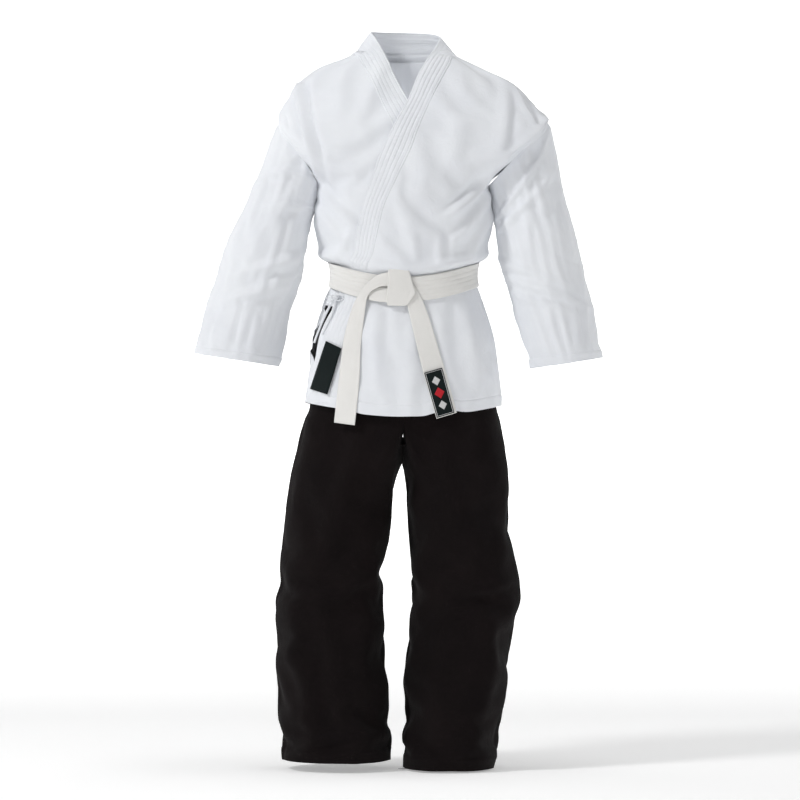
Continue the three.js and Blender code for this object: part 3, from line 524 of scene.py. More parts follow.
def sleeve_point(side, sections, share, turn, out, folds_list, from_cuff):
    """A point of a sleeve: turn 0 is the inner edge, and from_cuff is the distance to the cuff."""
    ox, oh, ix, ih, depth = sleeve_section(sections, share)
    middle = Vector((side * (ox + ix) / 2, 0, (oh + ih) / 2))
    half = Vector((side * (ix - ox) / 2, 0, (ih - oh) / 2))
    width = half.length
    relief = 0.0
    run = share * SLEEVE_LENGTH
    half_turns = turn / math.pi
    for place, where, slope, height, spread in folds_list:
        line = place * SLEEVE_LENGTH + slope * (half_turns - where) * SLEEVE_WRAP
        in_front = math.exp(-((half_turns - where) / 0.30) ** 2)
        behind = 0.6 * math.exp(-((half_turns - 2 + where) / 0.3) ** 2)
        relief += height * (in_front + behind) * fold(run, 0, ((line, -1), (line, 1)), 1.0, spread, 0.35)
    relief += wander(side * 400 + 2 * middle.x * math.cos(turn), 90 * math.sin(turn), middle.z, 90, 5.0)
    relief += wander(side * 300 + middle.x * math.cos(turn), 70 * math.sin(turn), middle.z, 36, 1.2)
    seam_line = -0.7 * math.exp(-((run - 9) / 1.3) ** 2)
    seam_line += 0.5 * smooth_step((9 - run) / 2) * smooth_step(run / 2)
    calm = smooth_step(share / 0.05) * smooth_step(from_cuff / 60 + 0.25)
    seam = 0.8 * math.exp(-((turn - 0.78 * math.pi) * 70 / 3) ** 2)
    out = out + relief * calm + seam + seam_line + hem_relief(from_cuff) * (1 if from_cuff < 30 else 0)
    reach = (width + out) / width
    point = middle + half * (math.cos(turn) * reach)
    point.y = -(depth + out) * math.sin(turn)
    return point + settled_on("sleeve", side, turn, share)


def sleeve_rows(side, sections, fold_rows, out, start=0.0, rows=SLEEVE_ROWS):
    """Rows of a sleeve from a share of its length to the cuff, which gets the hem's own rows."""
    shares = [lerp(start, 1.0, k / rows) for k in range(rows + 1)]
    cuff_rows = [1 - d / SLEEVE_LENGTH for d in HEM_ROWS if 1 - d / SLEEVE_LENGTH > start]
    shares = sorted(set([s for s in shares if s < 1 - 27 / SLEEVE_LENGTH] + cuff_rows))
    grid = []
    for share in shares:
        row = []
        for j in range(SLEEVE_TURNS):
            turn = 2 * math.pi * j / SLEEVE_TURNS
            from_cuff = (1 - share) * SLEEVE_LENGTH
            row.append(sleeve_point(side, sections, share, turn, out, fold_rows, from_cuff))
        grid.append([point_mm(p.x, p.y, p.z) for p in row])
    return grid


# ------------------------------------------------------------------ trousers
# Folds of the legs, front only: line, height, width, one-sidedness.
LEG_FOLDS = [
    (((-60, 640), (-120, 420)), 5, 20, 0.3),
    (((-20, 640), (-24, 470)), 5, 12, 0.3),
    (((-90, 600), (-170, 380)), 4, 22, -0.3),
    (((-210, 352), (-120, 334)), 6, 13, 0.5),
    (((-200, 322), (-130, 340)), 4, 11, 0.4),
    (((-60, 360), (-120, 320)), 5, 13, 0.4),
    (((-190, 300), (-150, 60)), 8, 22, 0.4),
    (((-150, 300), (-110, 40)), 7, 20, -0.3),
    (((-60, 300), (-84, 40)), 5, 18, 0.3),
    (((50, 640), (100, 440)), 5, 20, -0.3),
    (((14, 620), (22, 470)), 4, 11, -0.3),
    (((90, 600), (150, 400)), 4, 22, 0.3),
    (((196, 346), (110, 330)), 6, 12, 0.5),
    (((190, 318), (120, 344)), 4, 10, 0.4),
    (((40, 350), (100, 316)), 5, 12, 0.4),
    (((150, 300), (110, 40)), 7, 20, -0.3),
    (((80, 300), (60, 40)), 5, 18, 0.3),
    (((170, 280), (146, 60)), 5, 16, 0.3),
]
LEGS = (("right", -1, LEG_RIGHT), ("left", 1, LEG_LEFT))
LEG_TURNS = 96
LEG_SIM_TOP = 700
LEG_ROWS = 150
LEG_HEM = 24
SEAT_OVERLAP = 4                # how far each leg reaches past the middle above the crotch


def leg_point(sections, h, turn, out, side):
    """A point of a leg. Above the crotch the inner wall is kept still and a little past the middle."""
    outer = at_height(sections, h, 1)
    ridge = at_height(sections, h, 2)
    inner = at_height(sections, h, 3)
    c, s = math.cos(turn), math.sin(turn)
    deep = at_height(sections, h, 4 if s >= 0 else 5)
    reach = outer - ridge if c > 0 else ridge - inner
    x_plain = ridge + reach * c
    place = x_plain if s >= 0 else x_plain * 1.1 + 31
    under_jacket = 1 - smooth_step((h - 640) / 40)
    bend = folds(place, h if s >= 0 else h - 14, LEG_FOLDS) * (1 if s >= 0 else 0.75)
    bend += wander(place, side * 50 + (0 if s >= 0 else 400), h, 70, 7.0)
    bend += wander(place, side * 50 + (0 if s >= 0 else 400), h, 30, 1.6)
    bend *= under_jacket * smooth_step(abs(s) / 0.1)
    above_crotch = smooth_step((h - 560) / 60)
    still = smooth_step(-c * 1.5 - 0.3) * above_crotch
    bend *= 1 - still
    side_sign = 1 if outer > ridge else -1
    overlap = SEAT_OVERLAP * max(-c, 0) * smooth_step((h - CROTCH + 4) / 6)
    x = x_plain + side_sign * ((out + bend) * c - overlap)
    low = sections[0][0]
    settle = settled_on("leg", side, turn, (h - low) / (LEG_SIM_TOP - low))
    return Vector((x, -(deep + out + bend) * s, h)) + settle * (1 - still)


def leg_rows(sections, side, out, low, high, rows):
    """Rows of a leg from the hem up; the inner walls above the crotch are left to the caller."""
    grid = []
    hem = sections[0][0]
    levels = [hem + d for d in HEM_ROWS if hem + d >= low]
    top_hem = hem + HEM_ROWS[-1]
    levels += [lerp(top_hem, high, (k + 1) / rows) for k in range(rows)]
    for h in levels:
        row = []
        for j in range(LEG_TURNS):
            turn = 2 * math.pi * j / LEG_TURNS
            groove = hem_relief(h - hem + HEM_FOLD - LEG_HEM) if h - hem < 30 else 0.0
            p = leg_point(sections, h, turn, out + groove, side)
            row.append(p)
        grid.append([point_mm(p.x, p.y, p.z) for p in row])
    return grid


# ------------------------------------------------------------------ cloth simulation
SIM_TURNS = 150
SIM_ROWS = 112
SIM_FOOT = JACKET_HEM - 4
SIM_FRAMES = 26
GUIDE, BAND_GUIDE, SLEEVE_GUIDE = 0.19, 0.60, 0.26
MOST_MOVE = 10.0
TUBE_TURNS, TUBE_ROWS = 84, 96
SMOOTH_PASSES = 2


def soften(cloth, grow, bending):
    """Cotton: stiff in the plane, soft in bending, and cut a little larger than its shape."""
    fabric = cloth.settings
    fabric.quality = 5
    fabric.mass = 0.25
    fabric.tension_stiffness = 14
    fabric.compression_stiffness = 14
    fabric.shear_stiffness = 6
    fabric.bending_stiffness = bending
    fabric.air_damping = 1.5
    fabric.shrink_min = -grow
    fabric.vertex_group_mass = "held"
    fabric.pin_stiffness = 1.0
    fabric.effector_weights.gravity = 0.5
    cloth.collision_settings.use_collision = False
    cloth.collision_settings.use_self_collision = False


def smoothed(moves, passes):
    """Takes out the shortest ripples, which are at the size of the mesh and not of the cloth."""
    count = len(moves[0])
    last = len(moves) - 1
    for _ in range(passes):
        calmer = []
        for i, row in enumerate(moves):
            before, after = moves[max(i - 1, 0)], moves[min(i + 1, last)]
            calmer.append([(before[j] + after[j] + row[j - 1] + row[(j + 1) % count] + 2 * row[j]) / 6
                           for j in range(count)])
        moves = calmer
    return moves


def drape(jobs):
    """Lets sheets of cloth settle together, and gives back how far each point moved, in mm."""
    sheets = []
    for name, rows, held, grow, bending in jobs:
        sheet = grid_object(name, rows, JACKET_WHITE, closed=True, thickness=0)
        group = sheet.vertex_groups.new(name="held")
        count = len(rows[0])
        for i in range(len(rows)):
            for j in range(count):
                group.add([i * count + j], held(i, j), "REPLACE")
        soften(sheet.modifiers.new("cloth", "CLOTH"), grow, bending)
        sheets.append((sheet, rows))
    scene = bpy.context.scene
    for number in range(1, SIM_FRAMES + 1):
        scene.frame_set(number)
    moved = []
    graph = bpy.context.evaluated_depsgraph_get()
    for sheet, rows in sheets:
        settled_mesh = sheet.evaluated_get(graph).data
        count = len(rows[0])
        moves = []
        for i, row in enumerate(rows):
            ends = settled_mesh.vertices[i * count:(i + 1) * count]
            moves.append([(end.co - point) / MM for end, point in zip(ends, row)])
        moved.append(smoothed(moves, SMOOTH_PASSES))
    for sheet, _ in sheets:
        mesh = sheet.data
        bpy.data.objects.remove(sheet)
        bpy.data.meshes.remove(mesh)
    scene.frame_set(1)
    return moved


def limited(move, most):
    """A move shortened smoothly so that it never passes a limit."""
    length = move.length
    return move * (most * math.tanh(length / most) / length) if length > 1e-6 else move


def grid_move(moves, u, v):
    """A move at a place between the points of a grid; u runs round it and v along it."""
    count = len(moves[0])
    v = min(max(v, 0.0), len(moves) - 1.001)
    i, j = int(v), int(math.floor(u))
    fv, fu = v - i, u - math.floor(u)
    j0, j1 = j % count, (j + 1) % count
    low = moves[i][j0].lerp(moves[i][j1], fu)
    high = moves[i + 1][j0].lerp(moves[i + 1][j1], fu)
    return low.lerp(high, fv)


settled_moves = {}


def under_tail(x, h, turn):
    """1 where a tail of the belt or the patch presses the skirt flat, fading to 0 beside it."""
    if h > BELT_HEIGHT or math.sin(turn) < 0:
        return 0.0
    down = (866 - h) / 200
    presses = [(-80 - 28 * down, 30), (22 + 52 * down, 30)]
    if h < 800:
        presses.append((-142 + (h - 738) * 0.34, 26))
    return max(math.exp(-((x - middle) / width) ** 4) for middle, width in presses)


def settled(turn, h):
    """How the simulated jacket moved at a place."""
    if "body" not in settled_moves:
        return Vector((0, 0, 0))
    u = turn / (2 * math.pi) * SIM_TURNS
    v = (h - SIM_FOOT) / (NECK_TOP - SIM_FOOT) * SIM_ROWS
    x = half_width(turn, h) * math.cos(turn)
    return limited(grid_move(settled_moves["body"], u, v), MOST_MOVE) * (1 - 0.8 * under_tail(x, h, turn))


def settled_on(kind, side, turn, share):
    """How a simulated sleeve or leg moved at a place."""
    if (kind, side) not in settled_moves:
        return Vector((0, 0, 0))
    moves = settled_moves[(kind, side)]
    u = turn / (2 * math.pi) * len(moves[0])
    return limited(grid_move(moves, u, share * (len(moves) - 1)), MOST_MOVE)


def body_held(i, j):
    """How firmly each point of the jacket is held: 1 is fixed, small values only guide it."""
    h = lerp(SIM_FOOT, NECK_TOP, i / SIM_ROWS)
    turn = 2 * math.pi * j / SIM_TURNS
    if abs(h - belt_middle(turn)) < 25 or h > NECK_TOP - 14:
        return 1.0
    if abs(math.sin(turn)) < 0.3 and ARM_FOOT - 8 < h < ARM_TOP + 8:
        return 1.0
    x = half_width(turn, h) * math.cos(turn)
    on_band = math.sin(turn) > 0 and edge_at(OVER_EDGE, h) - 4 < x < edge_at(OVER_SEAM, h) + 4
    return BAND_GUIDE if on_band else GUIDE


def sleeve_held(i, j):
    if i < 2:
        return 1.0
    return 0.36 if i > TUBE_ROWS - 4 else SLEEVE_GUIDE


def leg_held(i, j):
    if i > 0.93 * TUBE_ROWS:
        return 1.0
    return 0.6 if i < 3 else GUIDE


def run_simulation():
    """Lets the jacket, the sleeves and the legs settle, and keeps how their points moved."""
    body = [[point_mm(*plain_point(2 * math.pi * j / SIM_TURNS, lerp(SIM_FOOT, NECK_TOP, i / SIM_ROWS), 0))
             for j in range(SIM_TURNS)] for i in range(SIM_ROWS + 1)]
    jobs = [("body", body, body_held, 0.045, 6.0)]
    keys = ["body"]
    turns = [2 * math.pi * j / TUBE_TURNS for j in range(TUBE_TURNS)]
    for _, side, sections, fold_rows in SLEEVES:
        rows = []
        for i in range(TUBE_ROWS + 1):
            share = i / TUBE_ROWS
            from_cuff = (1 - share) * SLEEVE_LENGTH
            ring = [sleeve_point(side, sections, share, turn, 0, fold_rows, from_cuff) for turn in turns]
            rows.append([point_mm(*p) for p in ring])
        jobs.append(("sleeve", rows, sleeve_held, 0.03, 4.0))
        keys.append(("sleeve", side))
    for _, side, sections in LEGS:
        low = sections[0][0]
        rows = []
        for i in range(TUBE_ROWS + 1):
            h = lerp(low, LEG_SIM_TOP, i / TUBE_ROWS)
            ring = [leg_point(sections, h, turn, 0, side) for turn in turns]
            rows.append([point_mm(*p) for p in ring])
        jobs.append(("leg", rows, leg_held, 0.035, 9.0))
        keys.append(("leg", side))
    for key, moves in zip(keys, drape(jobs)):
        settled_moves[key] = moves


run_simulation()


def turn_at(x, h, offset):
    half = at_height(BODY, h, LEFT if x > 0 else RIGHT) + offset
    return math.acos(min(max(x / half, -1.0), 1.0))


def over_offset(turn, offset):
    """The over front starts flush at the left side seam and rises over the layers beneath."""
    share = 1.0
    if math.cos(turn) > 0 and math.sin(turn) < 0.7:
        share = max(math.sin(turn), 0.0) / 0.7
    return offset + LAYER * share


def hem_height(x):
    return JACKET_HEM + HEM_RISE * min(abs(x) / 180, 1.0) ** 2


PANEL_ROWS = 118


def jacket_rows(side_edge, free_edge, offset, columns=84):
    """Rows of a jacket panel from the hem to the top, between two edges given as turns."""
    grid = []
    levels = [("hem", d) for d in HEM_ROWS]
    levels += [("body", (k + 1) / PANEL_ROWS) for k in range(PANEL_ROWS)]
    for kind, value in levels:
        row = []
        for j in range(columns + 1):
            share = j / columns
            guess = lerp(side_edge(JACKET_HEM + 30), free_edge(JACKET_HEM + 30), share)
            hem = hem_height(half_width(guess, JACKET_HEM + 20) * math.cos(guess))
            if kind == "hem":
                h = hem + value
                relief = hem_relief(value)
            else:
                h = lerp(hem + HEM_ROWS[-1], NECK_TOP, value)
                relief = 0.0
            turn = lerp(side_edge(h), free_edge(h), share)
            row.append(body_point(turn, h, offset(turn) + relief))
        grid.append([point_mm(p.x, p.y, p.z) for p in row])
    return grid


PANEL_TURN = 5
over_front_rows = jacket_rows(
    side_edge=lambda h: 0.0,
    free_edge=lambda h: turn_at(edge_at(OVER_EDGE, h) + PANEL_TURN, h, LAYER),
    offset=lambda turn: over_offset(turn, 0))


def under_side(h):
    """The under front stops behind the over front's edge, below the top of the side vent."""
    if h > 853:
        return math.pi
    return turn_at(edge_at(OVER_EDGE, h) + 10, h, 0)


under_front_rows = jacket_rows(
    side_edge=under_side,
    free_edge=lambda h: turn_at(edge_at(UNDER_EDGE, h) - PANEL_TURN, h, 0),
    offset=lambda turn: 0, columns=56)

# The back wraps a little round to the front below the top of the right side vent.
VENT_EDGE = [(-128, 856), (-139, 840), (-150, 824), (-155, 812), (-162, 802), (-167, 785), (-167, 768),
             (-163, 752), (-152, 700), (-150, 620)]


def back_right_edge(h):
    if h >= 853:
        return math.pi
    wrapped = turn_at(edge_at(VENT_EDGE, h), h, 0)
    return lerp(math.pi, wrapped, smooth_step((853 - h) / 14))


def back_left_edge(h):
    return 2 * math.pi + 0.03 * smooth_step((715 - h) / 40)


def seam_relief(turn):
    """The centre back seam: a narrow hollow between two felled edges."""
    distance = abs(turn - 1.5 * math.pi) * 150
    return 0.7 * math.exp(-((distance - 5) / 3) ** 2) - 0.8 * math.exp(-(distance / 1.6) ** 2)


back_rows = jacket_rows(side_edge=back_right_edge, free_edge=back_left_edge, offset=seam_relief, columns=130)

over_front = grid_object("over_front", over_front_rows, JACKET_WHITE)
under_front = flip(grid_object("under_front", under_front_rows, JACKET_WHITE))
jacket_back = grid_object("jacket_back", back_rows, JACKET_WHITE)


# ------------------------------------------------------------------ lapels and neck band
BAND_COLUMNS = 56
STITCH_ROWS = 6


def band_relief(share, along):
    """Rows of stitching pull grooves along a band, and pucker the cloth between them."""
    rows = 0.0
    for k in range(STITCH_ROWS):
        middle = 0.08 + 0.84 * k / (STITCH_ROWS - 1)
        rows -= 1.0 * math.exp(-((share - middle) / 0.018) ** 2)
    pucker = 0.30 * math.sin(2 * math.pi * along / 5.2 + 3 * noise.noise(Vector((along / 30, share * 3, 0))))
    edge = -1.2 * math.exp(-(min(share, 1 - share) / 0.02) ** 2)
    return rows + pucker * smooth_step(share / 0.1) * smooth_step((1 - share) / 0.1) + edge


def chest_band_row(edge, seam, h, base, along):
    """A level row of a lapel on the chest, from its free edge to its sewn edge."""
    row = []
    for j in range(BAND_COLUMNS + 1):
        share = j / BAND_COLUMNS
        x = lerp(edge_at(edge, h), edge_at(seam, h), share)
        turn = turn_at(x, h, base)
        row.append(body_point(turn, h, base + band_relief(share, along)))
    return row


def neck_band_row(inner, outer, along):
    """A row of the standing neck band, from its top edge down to its foot."""
    top, foot = Vector(inner), Vector(outer)
    outward = Vector((foot.x, foot.y, 0)).normalized()
    row = []
    for j in range(BAND_COLUMNS + 1):
        share = j / BAND_COLUMNS
        bulge = 2.5 * math.sin(math.pi * share) + band_relief(share, along)
        row.append(top.lerp(foot, share) + outward * bulge)
    return row


# The neck band's rows from the over lapel round the back to the under lapel: top, foot.
NECK_ROWS = [
    ((58, -32, 1325), (97, -12, 1311)),
    ((68, -14, 1342), (98, 4, 1316)),
    ((68, 8, 1352), (90, 28, 1314)),
    ((48, 34, 1359), (62, 51, 1314)),
    ((2, 46, 1362), (2, 61, 1314)),
    ((-46, 34, 1362), (-60, 51, 1314)),
    ((-60, 8, 1360), (-88, 28, 1312)),
    ((-57, -12, 1354), (-92, 4, 1314)),
    ((-48, -26, 1340), (-90, -14, 1306)),
]
OVER_START, UNDER_START = 1304, 1318
BAND_STEP = 2.6


def band_rows():
    over_base = LAYER + GAP + BAND
    rows = []
    along = 0.0
    h = JACKET_HEM + HEM_RISE - 2
    while h < OVER_START:
        rows.append(chest_band_row(OVER_EDGE, OVER_SEAM, h, over_base, along))
        h += BAND_STEP
        along += BAND_STEP * 1.12
    under_base = GAP + BAND
    first = [chest_band_row(OVER_EDGE, OVER_SEAM, OVER_START - 22 * k, over_base, 0) for k in (1, 0)]
    last = [chest_band_row(UNDER_EDGE_TOP, UNDER_SEAM, UNDER_START - 22 * k, under_base, 0) for k in (0, 1)]
    neck = [neck_band_row(top, foot, 0) for top, foot in NECK_ROWS]
    frame_rows = first + neck + last
    spans = len(frame_rows) - 3
    steps = 150
    for k in range(1, steps):
        share = (1 + spans * k / steps) / (len(frame_rows) - 1)
        row = spline(frame_rows, share)
        along += 2.1
        wave = 0.30 * math.sin(2 * math.pi * along / 5.2)
        rows.append([p + Vector((p.x, p.y, 0)).normalized() * wave for p in row])
    h = UNDER_START
    while h > JACKET_HEM + 30:
        rows.append(chest_band_row(UNDER_EDGE_TOP, UNDER_SEAM, h, under_base, along))
        h -= BAND_STEP
        along += BAND_STEP * 1.12
    return [[point_mm(p.x, p.y, p.z) for p in row] for row in rows]


UNDER_EDGE_TOP = [(-36, 1320)] + UNDER_EDGE[1:]
lapel_band = grid_object("lapel_band", band_rows(), JACKET_WHITE, thickness=BAND)

yoke_rows = []
for k in range(41):
    h = lerp(1200, NECK_TOP - 11, k / 40)
    row = []
    for j in range(61):
        turn = lerp(1.5 * math.pi - 0.62, 1.5 * math.pi + 0.62, j / 60)
        row.append(body_point(turn, h, -2 * CLOTH - 1.5))
    yoke_rows.append([point_mm(p.x, p.y, p.z) for p in row])
yoke = flip(grid_object("yoke", yoke_rows, LINING_GREY, thickness=0.8))


sleeves = {}
cuffs = {}
for name, side, sections, fold_rows in SLEEVES:
    outside = sleeve_rows(side, sections, fold_rows, 0.6)
    turned_in = sleeve_rows(side, sections, fold_rows, -1.6, start=0.952, rows=8)
    sleeves[name] = grid_object(name + "_sleeve_cloth", outside, JACKET_WHITE, closed=True)
    cuffs[name] = grid_object(name + "_cuff_cloth", turned_in, JACKET_WHITE, closed=True, thickness=0.8)
    if side > 0:
        flip(sleeves[name])
        flip(cuffs[name])


HIP_TOP = 938
legs = {}
leg_hems = {}
for name, side, sections in LEGS:
    outside = leg_rows(sections, side, -0.4, 0, HIP_TOP, LEG_ROWS)
    turned_in = leg_rows(sections, side, -2.4, 0, sections[0][0] + 27, 1)
    leg = grid_object(name + "_leg_cloth", outside, TROUSER_BLACK, closed=True)
    hem = grid_object(name + "_leg_hem_cloth", turned_in, TROUSER_BLACK, closed=True, thickness=0.8)
    if side < 0:
        flip(leg)
        flip(hem)
    legs[name] = leg
    leg_hems[name] = hem


# ------------------------------------------------------------------ belt
BELT_CLEAR = 0.8
WEB = 2.0
BELT_FACE = LAPEL_OUT + BELT_CLEAR + 2 * WEB + GAP
BELT_ROWS = [-21, -20.6, -19, -16, -13.5, -12.6, -11.7, -8, -5, -4.2, -3.4, 0, 3.4, 4.2, 5, 8, 11.7,
             12.6, 13.5, 16, 19, 20.6, 21]
BELT_TURNS = 240
BELT_STITCHES = (-12.6, -4.2, 4.2, 12.6)


def belt_relief(across):
    """Four rows of stitches run along the belt, and its edges are rolled."""
    groove = sum(-0.35 * math.exp(-((across - row) / 0.6) ** 2) for row in BELT_STITCHES)
    edge = -0.5 * math.exp(-((21 - abs(across)) / 0.5) ** 2)
    return groove + edge


def belt_offset(turn):
    """The belt lies on the lapels in front and on the back panel behind."""
    return BELT_CLEAR + LAPEL_OUT * min(max(math.sin(turn), 0.0) / 0.42, 1.0)


def belt_wrap(name, foot, tilt):
    """One turn of the belt about the waist. tilt lowers one side of the front a little."""
    rows = []
    for across in BELT_ROWS:
        row = []
        for j in range(BELT_TURNS):
            turn = 2 * math.pi * j / BELT_TURNS
            drop = tilt * math.sin(turn) * max(math.sin(turn), 0) * (1 - math.cos(turn))
            ease = wander(90 * math.cos(turn), across * 0.4, 90 * math.sin(turn) + foot * 40, 40, 0.8)
            h = belt_middle(turn) + across + drop
            p = body_point(turn, h, 0)
            out = belt_offset(turn) + foot + WEB + belt_relief(across) + ease
            outward = Vector((math.cos(turn) / half_width(turn, BELT_HEIGHT),
                              -math.sin(turn) / at_height(BODY, BELT_HEIGHT, DEEP_FRONT), 0)).normalized()
            flat = Vector((half_width(turn, BELT_HEIGHT) * math.cos(turn), 0, 0))
            deep = at_height(BODY, BELT_HEIGHT, DEEP_FRONT if math.sin(turn) >= 0 else DEEP_BACK)
            flat.y = -deep * math.sin(turn)
            base = Vector((flat.x, flat.y, 0)).lerp(Vector((p.x, p.y, 0)), 0.55)
            row.append(point_mm(base.x + outward.x * out, base.y + outward.y * out, h))
        rows.append(row)
    return grid_object(name, rows, BELT_WHITE, closed=True, thickness=WEB)


belt_inner = belt_wrap("belt_inner_turn", 0.0, 0.0)
belt_outer = belt_wrap("belt_outer_turn", WEB + GAP, -2.6)


# ------------------------------------------------------------------ knot and tails
def front_y(x, h, offset):
    """Depth of the front of the jacket at a place, without its small folds."""
    turn = turn_at(x, h, offset)
    deep = at_height(BODY, h, DEEP_FRONT)
    return -(deep + offset) * abs(math.sin(turn))


RIBBON_COLUMNS = 26


def ribbon(name, stations, steps=10, bulge=0.0):
    """A belt ribbon through stations (x, h, offset of one edge; x, h, offset of the other)."""
    ends = []
    for ax, ah, ao, bx, bh, bo in stations:
        a = Vector((ax, front_y(ax, ah, ao), ah))
        b = Vector((bx, front_y(bx, bh, bo), bh))
        ends.append([a, b])
    rows = []
    count = (len(ends) - 1) * steps
    for k in range(count + 1):
        a, b = spline(ends, k / count)
        before = spline(ends, max(k - 1, 0) / count)
        after = spline(ends, min(k + 1, count) / count)
        along = (after[0] + after[1]) - (before[0] + before[1])
        normal = (b - a).cross(along).normalized()
        if normal.y > 0:
            normal.negate()
        row = []
        for j in range(RIBBON_COLUMNS + 1):
            share = j / RIBBON_COLUMNS
            across = (share - 0.5) * BELT_WIDTH
            out = belt_relief(across) + bulge * math.sin(math.pi * share)
            row.append(a.lerp(b, share) + normal * out)
        rows.append([point_mm(p.x, p.y, p.z) for p in row])
    obj = grid_object(name, rows, BELT_WHITE, thickness=WEB)
    middle = obj.data.polygons[len(obj.data.polygons) // 2]
    if middle.normal.y > 0:
        flip(obj)
    return obj


# The knot and the tails are measured from the face of the belt.
F = BELT_FACE
knot_band = ribbon("knot_band", [
    (12, 872, F + 3.0, 2, 852, F + 1.0),
    (-6, 880, F + 5.2, -8, 853, F + 4.0),
    (-24, 884, F + 4.8, -26, 856, F + 4.6),
    (-46, 884, F + 3.6, -44, 858, F + 3.8),
    (-64, 880, F + 2.4, -62, 861, F + 2.6)],
    bulge=0.6)
tail_right = ribbon("tail_right", [
    (-4, 911, F + 5.5, -6, 884, F + 4.5),
    (-22, 912, F + 9.5, -26, 886, F + 9.0),
    (-40, 909, F + 10.5, -42, 885, F + 10.0),
    (-55, 901, F + 10.5, -56, 878, F + 8.5),
    (-68, 889, F + 9.0, -64, 869, F + 7.0),
    (-81, 872, F + 6.5, -67, 858, F + 5.5),
    (-92, 850, F + 3.5, -69, 844, F + 3.0),
    (-102, 818, F - 0.6, -73, 812, F - 1.0),
    (-110, 781, F - 0.8, -77, 775, F - 0.8),
    (-118, 712, F - 0.8, -80, 708, F - 0.8),
    (-126, 638, F - 0.8, -88, 633, F - 0.8)],
    bulge=0.8)
tail_left = ribbon("tail_left", [
    (-8, 880, F + 3.4, 20, 886, F + 2.4),
    (2, 866, F + 3.2, 27, 878, F + 2.4),
    (8, 850, F + 2.2, 35, 862, F + 1.8),
    (14, 824, F + 0.4, 46, 834, F + 0.4),
    (22, 790, F - 1.2, 57, 799, F - 1.2),
    (30, 757, F - 0.8, 67, 765, F - 0.8),
    (37, 729, F - 0.8, 75, 740, F - 0.8),
    (49, 687, F - 0.8, 87, 698, F - 0.8),
    (61, 645, F - 0.8, 98, 656, F - 0.8)],
    bulge=0.6)
knot_cross = ribbon("knot_cross", [
    (-18, 913, F + 0.6, 4, 912, F + 0.6),
    (-24, 917.5, F + 2.6, 8, 916.5, F + 2.6),
    (-27, 915, F + 8.5, 11, 914, F + 6.0),
    (-27, 903, F + 12.5, 15, 902, F + 7.6),
    (-28, 890, F + 12.8, 19, 887, F + 7.8),
    (-29, 876, F + 10.4, 23, 874, F + 7.4),
    (-30, 862, F + 7.8, 17, 864, F + 6.8),
    (-29, 852, F + 5.0, 7, 851, F + 4.6),
    (-27, 852, F + 1.6, 4, 853, F + 1.4)],
    bulge=1.0, steps=8)


# ------------------------------------------------------------------ label and patch
def ribbon_place(stations, share, across, lift):
    """A point over a straight stretch between two stations."""
    (ax, ah, ao, bx, bh, bo), (cx, ch, co, dx, dh, do) = stations
    a = Vector((ax, front_y(ax, ah, ao), ah)).lerp(Vector((cx, front_y(cx, ch, co), ch)), share)
    b = Vector((bx, front_y(bx, bh, bo), bh)).lerp(Vector((dx, front_y(dx, dh, do), dh)), share)
    p = a.lerp(b, across)
    return Vector((p.x, p.y - lift, p.z))


def cloth_plate(name, stations, outline, lift, material, thickness, pad=0.0):
    """A thin plate of woven cloth: outline is (share, across) of four corners."""
    (s0, a0), (s1, a1), (s2, a2), (s3, a3) = outline
    rows = []
    for i in range(13):
        row = []
        for j in range(9):
            u, v = i / 12, j / 8
            share = lerp(lerp(s0, s3, u), lerp(s1, s2, u), v)
            across = lerp(lerp(a0, a3, u), lerp(a1, a2, u), v)
            rim = min(u, 1 - u, v, 1 - v)
            p = ribbon_place(stations, share, across, lift + pad * smooth_step(rim * 8))
            row.append(point_mm(p.x, p.y, p.z))
        rows.append(row)
    obj = grid_object(name, rows, material, thickness=thickness)
    if obj.data.polygons[0].normal.y > 0:
        flip(obj)
    return obj


LABEL_SPAN = [(37, 729, F - 0.8, 75, 740, F - 0.8), (61, 645, F - 0.8, 98, 656, F - 0.8)]
label = cloth_plate("label", LABEL_SPAN, [(0.01, 0.03), (0.01, 0.89), (0.985, 0.89), (0.985, 0.03)],
                    3.2, LABEL_DARK, 0.9, pad=0.5)
label_trims = []
for name, outline in (
        ("label_rim_top", [(0.03, 0.07), (0.03, 0.85), (0.038, 0.85), (0.038, 0.07)]),
        ("label_rim_foot", [(0.955, 0.07), (0.955, 0.85), (0.963, 0.85), (0.963, 0.07)]),
        ("label_rim_near", [(0.03, 0.07), (0.03, 0.09), (0.963, 0.09), (0.963, 0.07)]),
        ("label_rim_far", [(0.03, 0.83), (0.03, 0.85), (0.963, 0.85), (0.963, 0.83)]),
        ("label_diamond_a", [(0.14, 0.46), (0.24, 0.66), (0.34, 0.46), (0.24, 0.26)]),
        ("label_diamond_c", [(0.66, 0.46), (0.76, 0.66), (0.86, 0.46), (0.76, 0.26)])):
    label_trims.append(cloth_plate(name, LABEL_SPAN, outline, 4.0, LABEL_WHITE, 0.4))
label_trims.append(cloth_plate(
    "label_diamond_b", LABEL_SPAN, [(0.38, 0.46), (0.50, 0.70), (0.62, 0.46), (0.50, 0.22)], 4.0,
    LABEL_RED, 0.4))

PATCH_SPAN = [(-141.4, 787, LAPEL_OUT, -112.7, 773.4, LAPEL_OUT),
              (-170.9, 699.5, LAPEL_OUT, -138.6, 689.3, LAPEL_OUT)]
patch = cloth_plate("dark_patch", PATCH_SPAN, [(0, 0), (0, 1), (1, 1), (1, 0)], 5.4, LABEL_DARK, 1.0,
                    pad=0.5)


